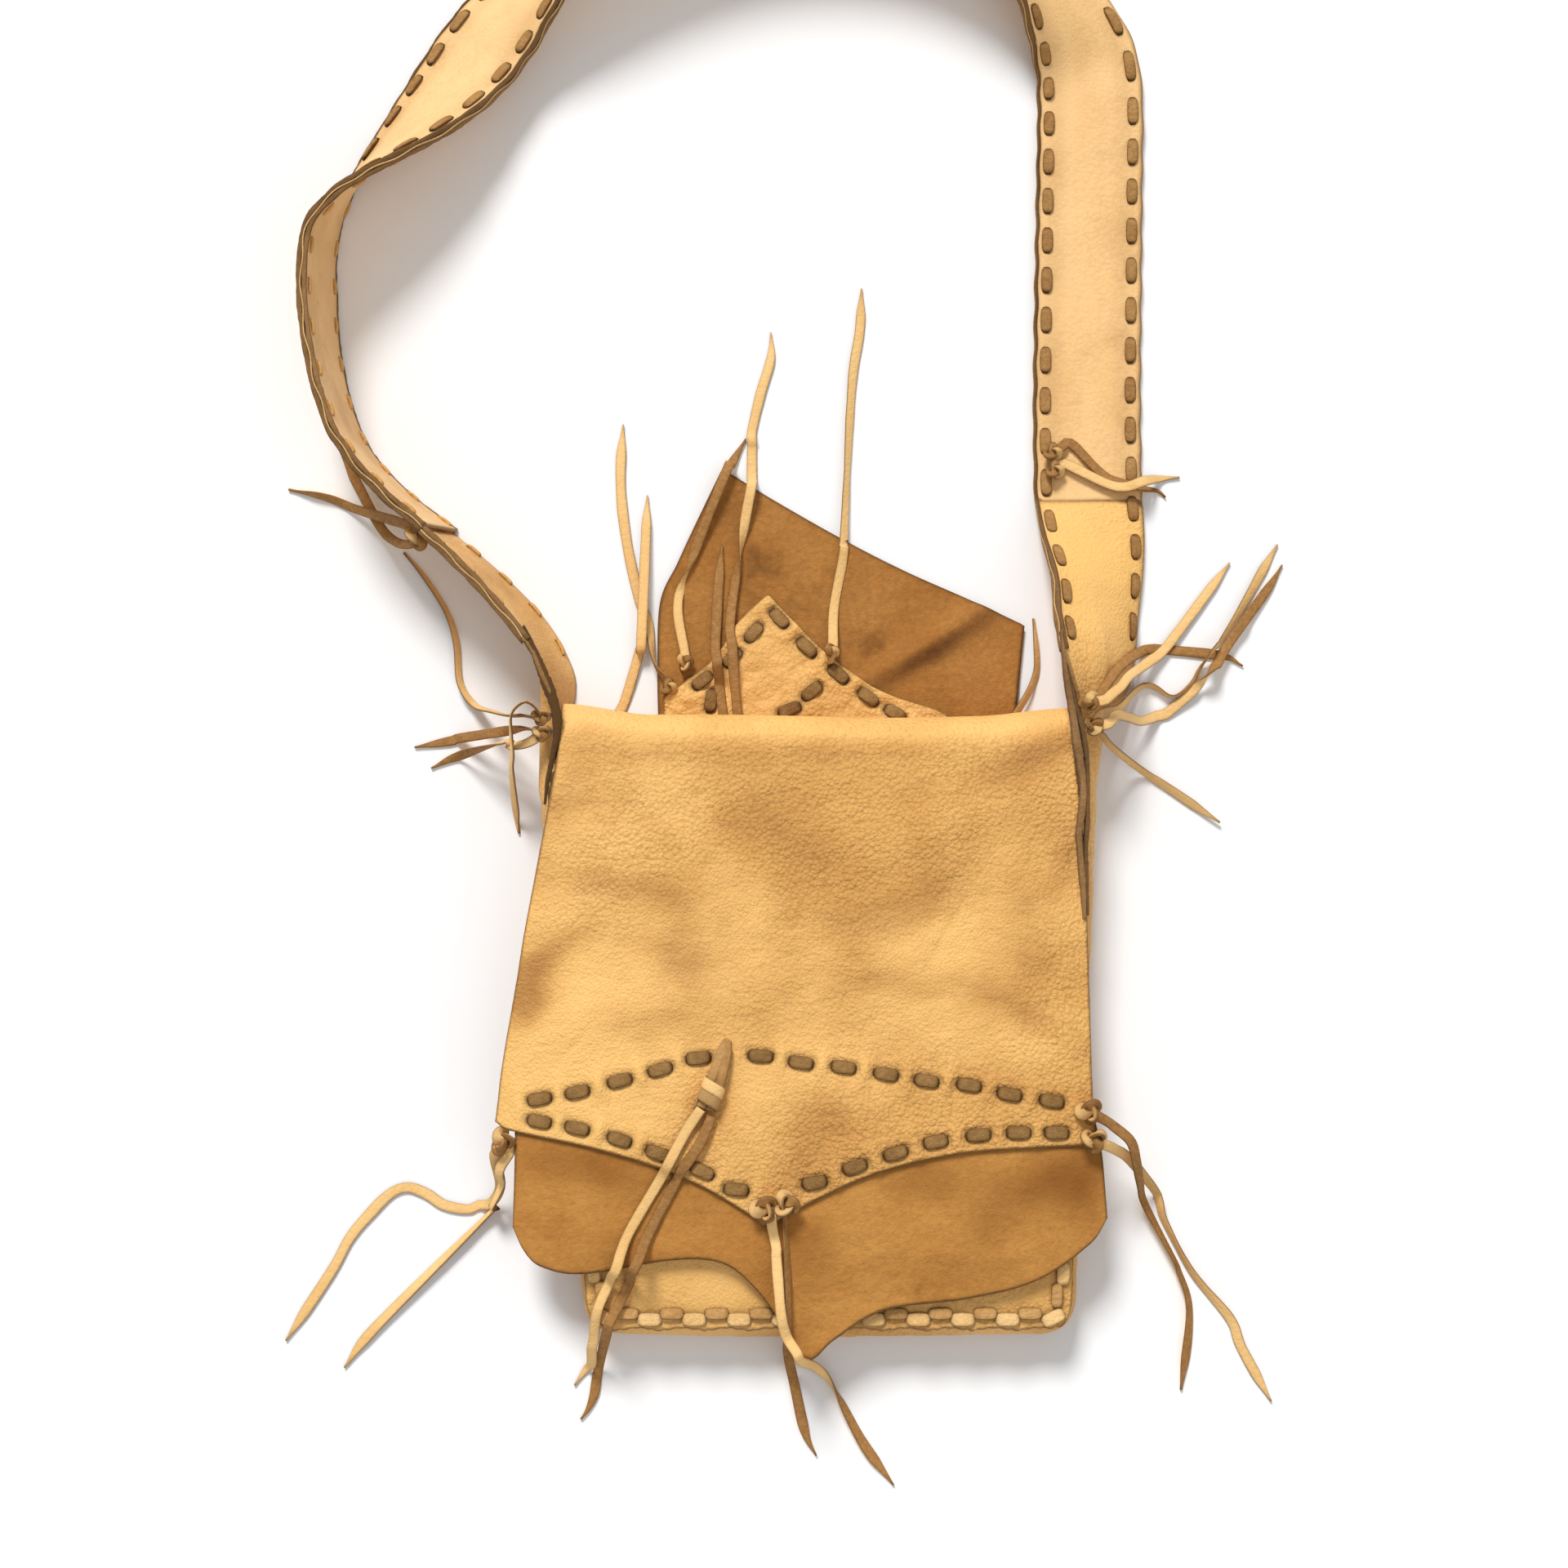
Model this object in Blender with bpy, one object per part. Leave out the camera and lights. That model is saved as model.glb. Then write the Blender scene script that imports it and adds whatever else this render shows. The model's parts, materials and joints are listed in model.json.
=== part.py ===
"""Laced leather sling bag, lying on its back.

Metres, +Z up. The mouth points towards +Y and the strap's loop lies beyond it.
The origin is the middle of the back panel's underside, on the surface it rests on.
"""

import math

import bmesh
import bpy
from mathutils import Vector

MM = 0.001

# Leather, lace and clearances
LEATHER = 0.0018
LACE_THICK = 0.0014
LACE_WIDTH = 0.0058
THONG_WIDTH = 0.0048
THONG_THICK = 0.0014
GAP = 0.0003
LAYER_GAP = 0.0006

# Pouch
MOUTH_Y = 0.112
BOTTOM_Y = -0.138
LEFT_TOP_X = -0.118
LEFT_BOTTOM_X = -0.097
RIGHT_TOP_X = 0.126
RIGHT_BOTTOM_X = 0.119
CORNER_RADIUS = 0.012
FRONT_Z = 0.034
FLANGE = 0.009
MOUTH_FLANGE = 0.002
SIDE_BULGE = 0.009
BOTTOM_BULGE = 0.004
CORNER_BULGE = 0.0015
WALL_TURN = 0.001
WALL_SHOULDER = 0.005
SHOULDER_SHARE = 0.75
SEAM_INSET = 0.0055
DISH_SLOPE = 0.0022

# Fold of the flap over the mouth
FOLD_Y = 0.121
FOLD_LEFT_X = -0.112
FOLD_RIGHT_X = 0.122
FOLD_STEPS = 5

# Strap
STRAP_WIDTH = 0.050
STRAP_MARGIN = 0.014
STITCH_PITCH = 0.020
PAD_INSET = 0.0037
PAD_SLOPE = 0.0006
LAP = 0.010

# Knots and loose thongs
KNOT_PROFILE = [(-1.0, 0.45), (-0.6, 1.0), (0.0, 0.72), (0.6, 1.0), (1.0, 0.45)]
KNOT_SIDES = 7
THONG_STEP = 0.014
TIP_SCALE = 0.35

# Laced slots
STITCH_HALF = 0.0052
SLOT_LENGTH = LACE_THICK + 2 * GAP
SLOT_WIDTH = LACE_WIDTH + 2 * GAP
CUT_PAST = 0.002
HINGE_GAP = 0.0006

# Rear flap, swung up past the mouth
REAR_HINGE_Y = 0.131
REAR_FLAP_Y = 0.134

# Heights in the laced stack, each resting on the one below
BACK_MARGIN_Z = LACE_THICK + GAP
BACK_FLANGE_Z = BACK_MARGIN_Z + LEATHER + GAP + LEATHER / 2
FRONT_FLANGE_Z = FRONT_Z - LEATHER - LAYER_GAP - LEATHER / 2
SEAM_LACE_Z = FRONT_Z + GAP
APRON_Z = FRONT_Z + 3 * GAP + 2 * LACE_THICK
FLAP_Z = APRON_Z + LEATHER + GAP
FLAP_TOP_Z = FLAP_Z + LEATHER
FOLD_RADIUS = (FLAP_TOP_Z - BACK_MARGIN_Z) / 2
FOLD_Z = BACK_MARGIN_Z + FOLD_RADIUS
REAR_APRON_Z = LACE_THICK + GAP
REAR_FLAP_Z = REAR_APRON_Z + LEATHER + GAP

# How far the filled front sinks towards its edges: (place, drop)
FIRM_Z = 0.0065
SINK_ACROSS = [(-0.142, -0.0075), (-0.118, -0.0025), (-0.090, 0.0), (0.090, 0.0),
               (0.118, -0.0020), (0.142, -0.0060)]
SINK_ALONG = [(-0.155, -0.013), (-0.138, -0.011), (-0.105, -0.005), (-0.060, -0.001),
              (-0.030, 0.0)]
SINK_FADE = [(0.060, 1.0), (0.073, 0.67), (0.087, 0.33), (0.100, 0.0)]

# Colours
GRAIN = (0.90, 0.66, 0.36)
SUEDE = (0.50, 0.27, 0.10)
LACE = (0.38, 0.21, 0.09)
THONG = (0.84, 0.58, 0.30)

# Outlines and routes, in millimetres
FLAP_LEFT = [(-112, 121), (-117, 91), (-124, 54), (-130, 17), (-136, -20), (-138, -38)]
FLAP_EDGE = [(-131, -50), (-97, -57), (-66, -66), (-43, -76), (-23, -88), (-16, -91),
             (5, -80), (33, -68), (68, -60), (107, -57), (129, -56)]
FLAP_RIGHT = [(128, -20), (127, 54), (125, 91), (122, 121)]
APRON_EDGE = [(-130, -52), (-131, -93), (-126, -103), (-118, -110), (-99, -113), (-61, -107),
              (-38, -108), (-23, -119), (-10, -136), (1, -151), (13, -142), (35, -129),
              (72, -124), (103, -116), (127, -100), (135, -89), (132, -57)]
APRON_TOP = [(126, -33), (60, -18), (-20, -6), (-50, -6), (-90, -20), (-132, -33)]
UPPER_STITCHES = [(-119, -36), (-102, -33), (-83, -28), (-65, -23), (-48, -18), (-20, -17),
                  (-2, -20), (17, -22), (36, -25), (54, -28), (73, -30), (91, -34), (110, -37)]
LOWER_STITCHES = [(-119, -46), (-102, -49), (-83, -54), (-66, -60), (-46, -68), (-31, -76),
                  (4, -73), (22, -66), (40, -60), (58, -55), (77, -52), (95, -51), (112, -51)]
REAR_APRON_EDGE = [(-68, 131), (-68, 198), (-52, 235), (-39, 263), (21, 227), (81, 198),
                   (104, 187), (98, 131)]
REAR_FLAP_EDGE = [(-66, 134), (-66, 152), (-45, 168), (-32, 187), (-17, 201), (7, 176),
                  (38, 154), (62, 146), (80, 134)]
REAR_RIGHT_STITCHES = [(-12, 190), (1, 176), (16, 163), (30, 152)]
REAR_LEFT_STITCHES = [(-24, 183), (-34, 171), (-48, 160)]
STRAP_ROUTE = [(-171, 228, 104), (-194, 247, 102), (-212, 268, 100), (-222, 291, 98),
               (-229, 322, 97), (-231, 350, 96), (-229, 373, 90), (-217, 395, 72),
               (-199, 416, 54), (-181, 437, 37), (-165, 459, 24), (-150, 481, 22),
               (-126, 507, 40), (-92, 530, 64), (-50, 546, 78), (-5, 553, 82),
               (42, 549, 78), (84, 532, 64), (116, 506, 40), (134, 480, 14),
               (140, 455, 0), (139, 400, 0), (137, 330, 0), (136, 290, 0), (136, 247, 2)]
RIGHT_RISER = [(136, 247, 2), (137, 230, 12), (138, 212, 27), (139, 192, 42), (141, 173, 56),
               (139, 154, 66)]
LEFT_RISER = [(-118, 152, 114), (-121, 171, 111), (-133, 191, 108), (-151, 210, 106),
              (-171, 228, 104)]

# Knots, in millimetres: centre, then length, width and height, then the turn in degrees
KNOTS = {
    "closure_wrap": (-42.3, -34.4, 44.9, 13, 8.5, 6, 70),
    "tip_knot": (-12.9, -82.5, 41.4, 13, 7, 5, 0),
    "flap_knot_left": (-135.5, -55, 32, 10, 8, 6, 0),
    "flap_knot_right_1": (133.8, -40.5, 36, 9, 7, 6, 20),
    "flap_knot_right_2": (136.4, -53.3, 34.2, 8, 7, 6, 0),
    "joint_knot_left": (-175.1, 223.4, 53.1, 12, 7, 6, 130),
    "joint_knot_right_1": (118.5, 270.4, 9, 8, 6, 5, 60),
    "joint_knot_right_2": (119.6, 261.8, 8.2, 8, 6, 5, 60),
    "corner_knot_right_1": (129.4, 142.6, 46.8, 9, 7, 6, 30),
    "corner_knot_right_2": (131.7, 132.5, 42.6, 9, 7, 6, -10),
    "corner_knot_left_1": (-120.2, 136.4, 43.6, 8, 6, 5, 0),
    "corner_knot_left_2": (-120, 129.4, 41.2, 8, 6, 5, 0),
    "rear_knot_1": (-56.3, 168.4, 6.4, 9, 6, 5, 100),
    "rear_knot_2": (-64, 156.9, 7.7, 8, 6, 5, 60),
    "rear_knot_3": (13, 172.3, 9.8, 9, 6, 5, 90),
}

# The closing thong's strand, in millimetres, from its wrap up to its hole in the flap
CLOSURE_STRAND = [(-39.9, -27.7, 44.9), (-37.2, -18.5, 43.8), (-35, -12, 42.8)]

# Loose ends of the thongs, in millimetres, each from its knot to its tip
TAILS = {
    "closure_tail_1": [(-46.5, -40.5, 45), (-53, -50, 43), (-61, -65, 44.5), (-65, -72, 39),
        (-79, -96, 37), (-84, -111, 40), (-86, -114, 36), (-88, -118, 28), (-93, -130, 28.5),
        (-95, -143, 20.5), (-96, -147, 18), (-97, -155, 6.5), (-100, -158, 1), (-105, -165, 1)],
    "closure_tail_2": [(-41.8, -43.8, 43.8), (-46.5, -55, 44.2), (-51, -62, 43.6),
        (-56, -69, 41.5), (-58, -73, 39), (-70, -96, 37), (-73, -104, 41.1), (-76, -111, 43.6),
        (-78, -114, 35.6), (-79, -118, 28), (-86, -132, 29), (-88, -137, 29.5), (-94, -157, 2),
        (-96, -169, 1), (-99, -176, 1), (-102, -180, 1)],
    "flap_tail_left_1": [(-138.5, -59, 30.5), (-140, -62, 26), (-139, -75, 12), (-144, -83, 4),
        (-150, -84, 1), (-155, -86, 1), (-166, -84, 1), (-174, -79, 1), (-183, -76, 1),
        (-191, -79, 1), (-200, -88, 1), (-209, -99, 1), (-217, -114, 1), (-237, -145, 1)],
    "flap_tail_left_2": [(-132.5, -59, 30.5), (-137, -66, 28), (-138, -70, 25), (-138, -75, 17),
        (-143, -85, 11), (-146, -89, 3), (-196, -139, 1.5), (-210, -157, 1)],
    "flap_tail_right_1": [(139.8, -58.4, 30), (145, -61.5, 24), (153, -69, 14), (161, -78, 4),
        (163, -83, 1), (165, -91, 1), (177, -114, 1), (194, -135, 1), (199, -148, 1),
        (212, -172, 1)],
    "flap_tail_right_2": [(137.5, -43, 34.5), (146, -55, 33), (149, -64, 28), (152, -74, 18),
        (156, -84, 5), (169, -109, 3.5), (171, -114, 1), (175, -126, 1), (175, -140, 1),
        (171, -167, 1)],
    "joint_tail_left_1": [(-180.5, 222, 51), (-190, 223, 38), (-203, 230, 14), (-212, 238, 2.5),
        (-222, 244, 1), (-247, 254, 1)],
    "joint_tail_left_2": [(-179, 228.5, 52.5), (-188, 238, 52.5), (-198, 248, 52.5),
        (-207, 260, 52.5), (-214, 270, 52.5)],
    "joint_tail_right_1": [(123, 273, 7.5), (128, 275, 6), (144, 259, 6), (160, 254, 6),
        (165, 254, 1), (170, 253, 1), (173, 250, 1)],
    "joint_tail_right_2": [(124.5, 265, 7), (144, 255, 8), (153, 253, 9.5), (161, 255, 12.5),
        (170, 259, 2), (180, 260, 1)],
    "left_tail_1": [(-125, 136, 46), (-129, 137, 44), (-136, 139, 31), (-145, 143, 18),
        (-156, 149, 3), (-163, 160, 1), (-165, 179, 1), (-169, 194, 1), (-180, 210, 1),
        (-186, 217, 1)],
    "left_tail_2": [(-124.8, 131, 41.4), (-130, 132, 38.8), (-139, 132.5, 26.5), (-163, 133, 2.5),
        (-167, 132, 1), (-184, 129, 1)],
    "left_tail_3": [(-124.5, 126.2, 39), (-128.5, 125, 36.2), (-132, 124.6, 34.6),
        (-136, 125, 30.5), (-136, 127, 32.5), (-152, 126, 14.5), (-165, 124, 1), (-176, 119, 1)],
    "left_tail_4": [(-122.5, 140, 48.5), (-127, 142, 51.5), (-133, 137, 49), (-134, 128, 40.5),
        (-134, 120, 35), (-135, 113, 27), (-135, 94, 2.5), (-134, 88, 1)],
    "rear_tail_1": [(-56.5, 173.5, 5.5), (-60, 196, 5), (-55, 215, 4.5), (-37, 261, 9),
        (-35, 266, 2), (-28, 279, 1)],
    "rear_tail_2": [(-37.5, 138.5, 7), (-40, 157, 7), (-40, 160, 9), (-41, 165, 13), (-41, 168, 14.5),
        (-42, 177, 6), (-41, 202, 5), (-39, 226, 4.5)],
    "rear_tail_3": [(-31, 138.5, 7), (-33, 160, 9.5), (-34, 176, 10.5), (-35, 190, 6), (-29, 232, 6),
        (-25, 254, 9.5), (-25, 259, 1.5), (-25, 274, 1), (-25, 278, 3), (-25, 283, 1),
        (-21, 301, 1), (-16, 319, 1), (-16, 332, 1)],
    "rear_tail_4": [(13.5, 177, 7.5), (14, 195, 4.5), (18, 217, 5), (19, 226, 6.5),
        (19, 231, 4.5), (23, 304, 1.5), (27, 333, 1), (28, 354, 1)],
    "rear_tail_5": [(-65.5, 160.5, 6), (-71, 169, 5.5), (-74, 188, 1.5), (-79, 202, 1),
        (-85, 230, 1), (-88, 258, 1), (-87, 286, 1)],
    "rear_tail_6": [(-85, 151, 1), (-78, 175, 3), (-77, 179, 7.5), (-75, 251, 1)],
    "rear_tail_7": [(96, 139, 4.7), (102, 148, 4.8), (107, 157, 3.6), (110, 166, 1),
        (110, 178, 1), (109, 191, 1)],
    "right_tail_1": [(133, 146, 45), (136, 149, 40), (147, 164, 21.5), (159, 174, 4.5),
        (164, 176, 1), (169, 176, 1), (198, 173, 1), (208, 168, 1)],
    "right_tail_2": [(136.2, 143.5, 47.6), (140, 147, 45.5), (144.5, 151, 41), (150, 158, 28),
        (159, 166, 10), (164, 170, 5.5), (168, 173, 3.5), (175, 181, 2.5), (203, 218, 1)],
    "right_tail_3": [(134, 137, 41.5), (138, 140, 32.5), (147, 145, 16.5), (158, 157, 1.5),
        (165, 158, 1), (174, 153, 1), (183, 159, 1), (187, 166, 1.6), (189, 169, 4.6),
        (194, 176, 8.1), (197, 179, 3.1), (208, 196, 1), (226, 227, 1)],
    "right_tail_4": [(138, 133.5, 42), (143, 138.5, 34.5), (150, 140, 22), (158, 140, 10.5),
        (167, 144, 1.5), (171, 145, 1), (181, 153, 3), (187, 159, 4.5), (192, 165, 9),
        (195, 168, 5.5), (197, 172, 5.5), (203, 181, 4), (208, 188, 4.5), (211, 192, 2.5),
        (222, 207, 1), (228, 217, 1)],
    "right_tail_5": [(135, 129.5, 40.6), (142.5, 125, 25), (161, 116, 3), (195, 93, 2.5)],
    "tip_tail_1": [(-15.5, -86, 40), (-15, -92, 39.5), (-14, -97, 36.5), (-13, -102, 38),
        (-13, -106, 38), (-11, -130, 39.4), (-9, -139, 36.4), (-7, -143, 35.4), (-4, -147, 39.9),
        (-2, -151, 36.2), (5, -156, 13), (13, -166, 2), (26, -190, 1.5), (40, -209, 1)],
    "tip_tail_2": [(-9, -86, 40), (-9, -92, 37), (-8, -107, 35.5), (-8, -138, 33), (-8, -149, 16),
        (-5, -164, 2), (0, -186, 1.5), (5, -196, 1)],
}


def run(table, value):
    """The value read from a table of straight stretches, level past its ends."""
    if value <= table[0][0]:
        return table[0][1]
    for (a, low), (b, high) in zip(table, table[1:]):
        if value <= b:
            return low + (high - low) * (value - a) / (b - a)
    return table[-1][1]


def sink(x, y):
    """How far the full height of the pouch drops at x, y."""
    return run(SINK_ACROSS, x) * run(SINK_FADE, y) + run(SINK_ALONG, y)


def scaled(points):
    return [tuple(v * MM for v in p) for p in points]


def material(name, colour, roughness):
    found = bpy.data.materials.get(name)
    if found:
        return found
    made = bpy.data.materials.new(name)
    made.use_nodes = True
    shader = made.node_tree.nodes["Principled BSDF"]
    shader.inputs["Base Color"].default_value = (*colour, 1.0)
    shader.inputs["Roughness"].default_value = roughness
    shader.inputs["Metallic"].default_value = 0.0
    return made


def add_object(name, mesh, colour, roughness=0.7):
    made = bpy.data.objects.new(name, mesh)
    bpy.context.scene.collection.objects.link(made)
    mesh.materials.append(material(name, colour, roughness))
    return made


def from_bmesh(name, bm, colour):
    bmesh.ops.recalc_face_normals(bm, faces=bm.faces)
    mesh = bpy.data.meshes.new(name)
    bm.to_mesh(mesh)
    bm.free()
    return add_object(name, mesh, colour)


def cut_at(bm, axis, places):
    """Cuts every face at planes across one axis, so that it can bend there."""
    for place in places:
        point = Vector((0, 0, 0))
        normal = Vector((0, 0, 0))
        point[axis] = place
        normal[axis] = 1.0
        geometry = bm.verts[:] + bm.edges[:] + bm.faces[:]
        bmesh.ops.bisect_plane(bm, geom=geometry, dist=1e-6, plane_co=point, plane_no=normal)


def grid_cuts(bm):
    cut_at(bm, 0, [place for place, _ in SINK_ACROSS])
    cut_at(bm, 1, [place for place, _ in SINK_ALONG + SINK_FADE])


def settle(bm):
    """Lets a piece of the pouch follow the sunken front, while what lies low stays put."""
    for v in bm.verts:
        share = (v.co.z - FIRM_Z) / (FRONT_FLANGE_Z - LEATHER - FIRM_Z)
        v.co.z += sink(v.co.x, v.co.y) * min(1.0, max(0.0, share))


def sheet(outline, low, thick):
    """A flat sheet of leather with the given outline, its underside at height low."""
    bm = bmesh.new()
    face = bm.faces.new([bm.verts.new((x, y, low)) for x, y in outline])
    face.normal_update()
    if face.normal.z > 0:
        face.normal_flip()
    top = bmesh.ops.extrude_face_region(bm, geom=[face])
    moved = [v for v in top["geom"] if isinstance(v, bmesh.types.BMVert)]
    bmesh.ops.translate(bm, verts=moved, vec=(0, 0, thick))
    return bm


def evaluated(obj):
    """The object's mesh with its modifiers applied, as a bmesh."""
    graph = bpy.context.evaluated_depsgraph_get()
    bm = bmesh.new()
    bm.from_mesh(obj.evaluated_get(graph).to_mesh())
    return bm


def smooth(points, per_stretch):
    """A curve through all the points, with per_stretch pieces between neighbours."""
    ends = [2 * Vector(points[0]) - Vector(points[1]), 2 * Vector(points[-1]) - Vector(points[-2])]
    track = [ends[0], *map(Vector, points), ends[1]]
    found = []
    for a, b, c, d in zip(track, track[1:], track[2:], track[3:]):
        for k in range(per_stretch):
            t = k / per_stretch
            found.append(0.5 * (2 * b + (c - a) * t + (2 * a - 5 * b + 4 * c - d) * t**2
                                + (3 * b - a - 3 * c + d) * t**3))
    return [*found, track[-2]]


def spaced(points, step):
    """The same curve with a whole number of equal steps, each about step long."""
    lengths = [0.0]
    for a, b in zip(points, points[1:]):
        lengths.append(lengths[-1] + (Vector(b[:2]) - Vector(a[:2])).length)
    count = max(1, round(lengths[-1] / step))
    found = []
    for k in range(count + 1):
        goal = lengths[-1] * k / count
        i = max(j for j in range(len(points) - 1) if lengths[j] <= goal + 1e-9)
        share = min(1.0, (goal - lengths[i]) / (lengths[i + 1] - lengths[i]))
        found.append(points[i].lerp(points[i + 1], share))
    return found


def seam_path(steps=(4, 5, 4)):
    """The pouch's outline without its mouth, from the right of the mouth round to the left."""
    sides = [((RIGHT_TOP_X, MOUTH_Y), (RIGHT_BOTTOM_X, BOTTOM_Y)),
             ((RIGHT_BOTTOM_X, BOTTOM_Y), (LEFT_BOTTOM_X, BOTTOM_Y)),
             ((LEFT_BOTTOM_X, BOTTOM_Y), (LEFT_TOP_X, MOUTH_Y))]
    found = []
    for k, ((x0, y0), (x1, y1)) in enumerate(sides):
        start, end = Vector((x0, y0)), Vector((x1, y1))
        along = (end - start).normalized()
        first = start + along * (CORNER_RADIUS if k else 0)
        last = end - along * (CORNER_RADIUS if k < 2 else 0)
        outward = Vector((-along.y, along.x))
        for i in range(steps[k] + 1):
            found.append((first.lerp(last, i / steps[k]), outward))
        if k < 2:
            turn = Vector(sides[k + 1][1]) - Vector(sides[k + 1][0])
            next_along = turn.normalized()
            for t in (1 / 3, 2 / 3):
                curve = (1 - t) ** 2 * last + 2 * t * (1 - t) * end
                curve += t**2 * (end + next_along * CORNER_RADIUS)
                middle = (along * (1 - t) + next_along * t).normalized()
                found.append((curve, Vector((-middle.y, middle.x))))
    return found


def mitred(line, half):
    """A polyline in a plane moved half to its left, with full width kept at its corners."""
    moved = []
    for i, p in enumerate(line):
        before = (p - line[max(i - 1, 0)]).normalized() if i else None
        after = (line[i + 1] - p).normalized() if i + 1 < len(line) else None
        first = before or after
        second = after or before
        normal = Vector((-first.y - second.y, first.x + second.x)).normalized()
        stretch = max(0.5, normal.dot(Vector((-first.y, first.x))))
        moved.append(p + normal * half / stretch)
    return moved


def loft(rings, rows=(), strips=()):
    """A closed body through rings, each the points of one side and then of the other, reversed.

    Faces are split by the diagonal that starts at the same edge on both sides, so that
    layers one above the other stay parallel. A lace stitch is raised in the middle of
    each face that lies in one of the given rows and strips.
    """
    bm = bmesh.new()
    lines = [[bm.verts.new(p) for p in ring] for ring in rings]
    count = len(lines[0])
    stitched = []
    for row, (a, b) in enumerate(zip(lines, lines[1:])):
        for i in range(count):
            j = (i + 1) % count
            if row in rows and i in strips:
                stitched.append(bm.faces.new((a[i], a[j], b[j], b[i])))
            elif i < count // 2:
                bm.faces.new((a[i], a[j], b[j]))
                bm.faces.new((a[i], b[j], b[i]))
            else:
                bm.faces.new((a[i], a[j], b[i]))
                bm.faces.new((a[j], b[j], b[i]))
    bm.faces.new(lines[0])
    bm.faces.new(lines[-1])
    bmesh.ops.recalc_face_normals(bm, faces=bm.faces)
    if stitched:
        bmesh.ops.inset_individual(bm, faces=stitched, thickness=PAD_INSET)
        bmesh.ops.inset_individual(bm, faces=stitched, thickness=PAD_SLOPE, depth=LACE_THICK)
    return bm


def frames(stations):
    """Centre, width direction, outer normal and run direction at each (x, y, tilt) station.

    Tilt turns the strap about its own line: 0 lies flat, 90 stands on edge. Its lower
    edge rests on the ground.
    """
    found = []
    for i, (x, y, tilt) in enumerate(stations):
        a, b = stations[max(i - 1, 0)], stations[min(i + 1, len(stations) - 1)]
        along = Vector((b[0] - a[0], b[1] - a[1], 0)).normalized()
        side = Vector((along.y, -along.x, 0))
        turn = math.radians(tilt)
        across = side * math.cos(turn) + Vector((0, 0, math.sin(turn)))
        rise = STRAP_WIDTH / 2 * abs(math.sin(turn)) + (LEATHER + LAYER_GAP / 2) * abs(math.cos(turn))
        found.append((Vector((x, y, rise + GAP)), across, across.cross(along), along))
    return found


def flat_section():
    half = STRAP_WIDTH / 2
    inner = half - STRAP_MARGIN
    inside = [inner * k / 2 for k in range(-2, 3)]
    return [Vector((w, 0)) for w in (-half, *inside, half)]


def channel_section(bulge, flange):
    """The gusset's section round the pouch: two flanges under the panels and a bulged wall."""
    half = (FRONT_FLANGE_Z - BACK_FLANGE_Z) / 2
    shoulder = Vector((-half + WALL_SHOULDER, SHOULDER_SHARE * bulge))
    lower = [Vector((-half, -flange)), Vector((-half, -WALL_TURN)), shoulder]
    upper = [Vector((-p.x, p.y)) for p in reversed(lower)]
    return [*lower, Vector((0, bulge)), *upper]


def band_ring(frame, section, low, high):
    """One ring of a strap: its section's line thickened from offset low to offset high."""
    centre, across, normal, _ = frame
    inner = mitred(section, low)
    outer = mitred(section, high)
    return [centre + across * p.x + normal * p.y for p in [*outer, *reversed(inner)]]


def pulled(frame, distance):
    """The frame moved back along its own run."""
    return (frame[0] - frame[3] * distance, *frame[1:])


def strap_frames():
    """Frames of the left riser, the strap's loop and the right riser, on one smooth line."""
    routes = (LEFT_RISER, STRAP_ROUTE[1:], RIGHT_RISER[1:])
    line = smooth([(x * MM, y * MM, tilt) for route in routes for x, y, tilt in route], 6)
    left = 6 * (len(LEFT_RISER) - 1)
    right = left + 6 * (len(STRAP_ROUTE) - 1)
    parts = [spaced(p, STITCH_PITCH) for p in (line[: left + 1], line[left : right + 1], line[right:])]
    found = frames([tuple(p) for p in [*parts[0], *parts[1][1:], *parts[2][1:]]])
    left = len(parts[0]) - 1
    right = left + len(parts[1]) - 1
    return found[: left + 1], found[left : right + 1], found[right:]


def build_strap(risers_and_loop):
    """The strap's two layers, held together by a running lace along each edge."""
    loop = risers_and_loop[1]
    section = flat_section()
    section = [section[0], section[1], section[-2], section[-1]]
    line = [pulled(loop[0], -GAP / 2), *loop[1:-1], pulled(loop[-1], GAP / 2)]
    rings = [band_ring(f, section, LAYER_GAP / 2, LAYER_GAP / 2 + LEATHER) for f in line]
    from_bmesh("strap_outer", loft(rings, range(1, len(line) - 2), (0, 2)), GRAIN)
    line = [pulled(loop[0], LAP), *loop, pulled(loop[-1], -LAP)]
    rings = [band_ring(f, section, -LAYER_GAP / 2 - LEATHER, -LAYER_GAP / 2) for f in line]
    from_bmesh("strap_lining", loft(rings), GRAIN)


def wall_bulge(place, outward):
    """How far the gusset's wall stands out: most at the mouth, drawn in at the bottom corners."""
    middle_x = (LEFT_BOTTOM_X + RIGHT_BOTTOM_X) / 2
    along_bottom = 1 - abs(place.x - middle_x) / (RIGHT_BOTTOM_X - middle_x)
    up_side = (place.y - BOTTOM_Y) / (MOUTH_Y - BOTTOM_Y)
    swell = (BOTTOM_BULGE - CORNER_BULGE) * max(0.0, along_bottom) * abs(outward.y)
    return CORNER_BULGE + swell + (SIDE_BULGE - CORNER_BULGE) * up_side * abs(outward.x)


def channel_frames():
    """The gusset round the pouch: standing on edge, its centre halfway up the wall."""
    middle = (FRONT_FLANGE_Z + BACK_FLANGE_Z) / 2
    up = Vector((0, 0, 1))
    found = []
    for place, outward in seam_path():
        outward = Vector((*outward, 0))
        bulge = wall_bulge(place, outward)
        flange = MOUTH_FLANGE if place.y > MOUTH_Y - GAP else FLANGE
        frame = (Vector((*place, middle)), up, outward, outward.cross(up))
        section = mitred(channel_section(bulge, flange), -LEATHER / 2 - LAYER_GAP / 2)
        found.append((frame, section))
    return found


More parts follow.
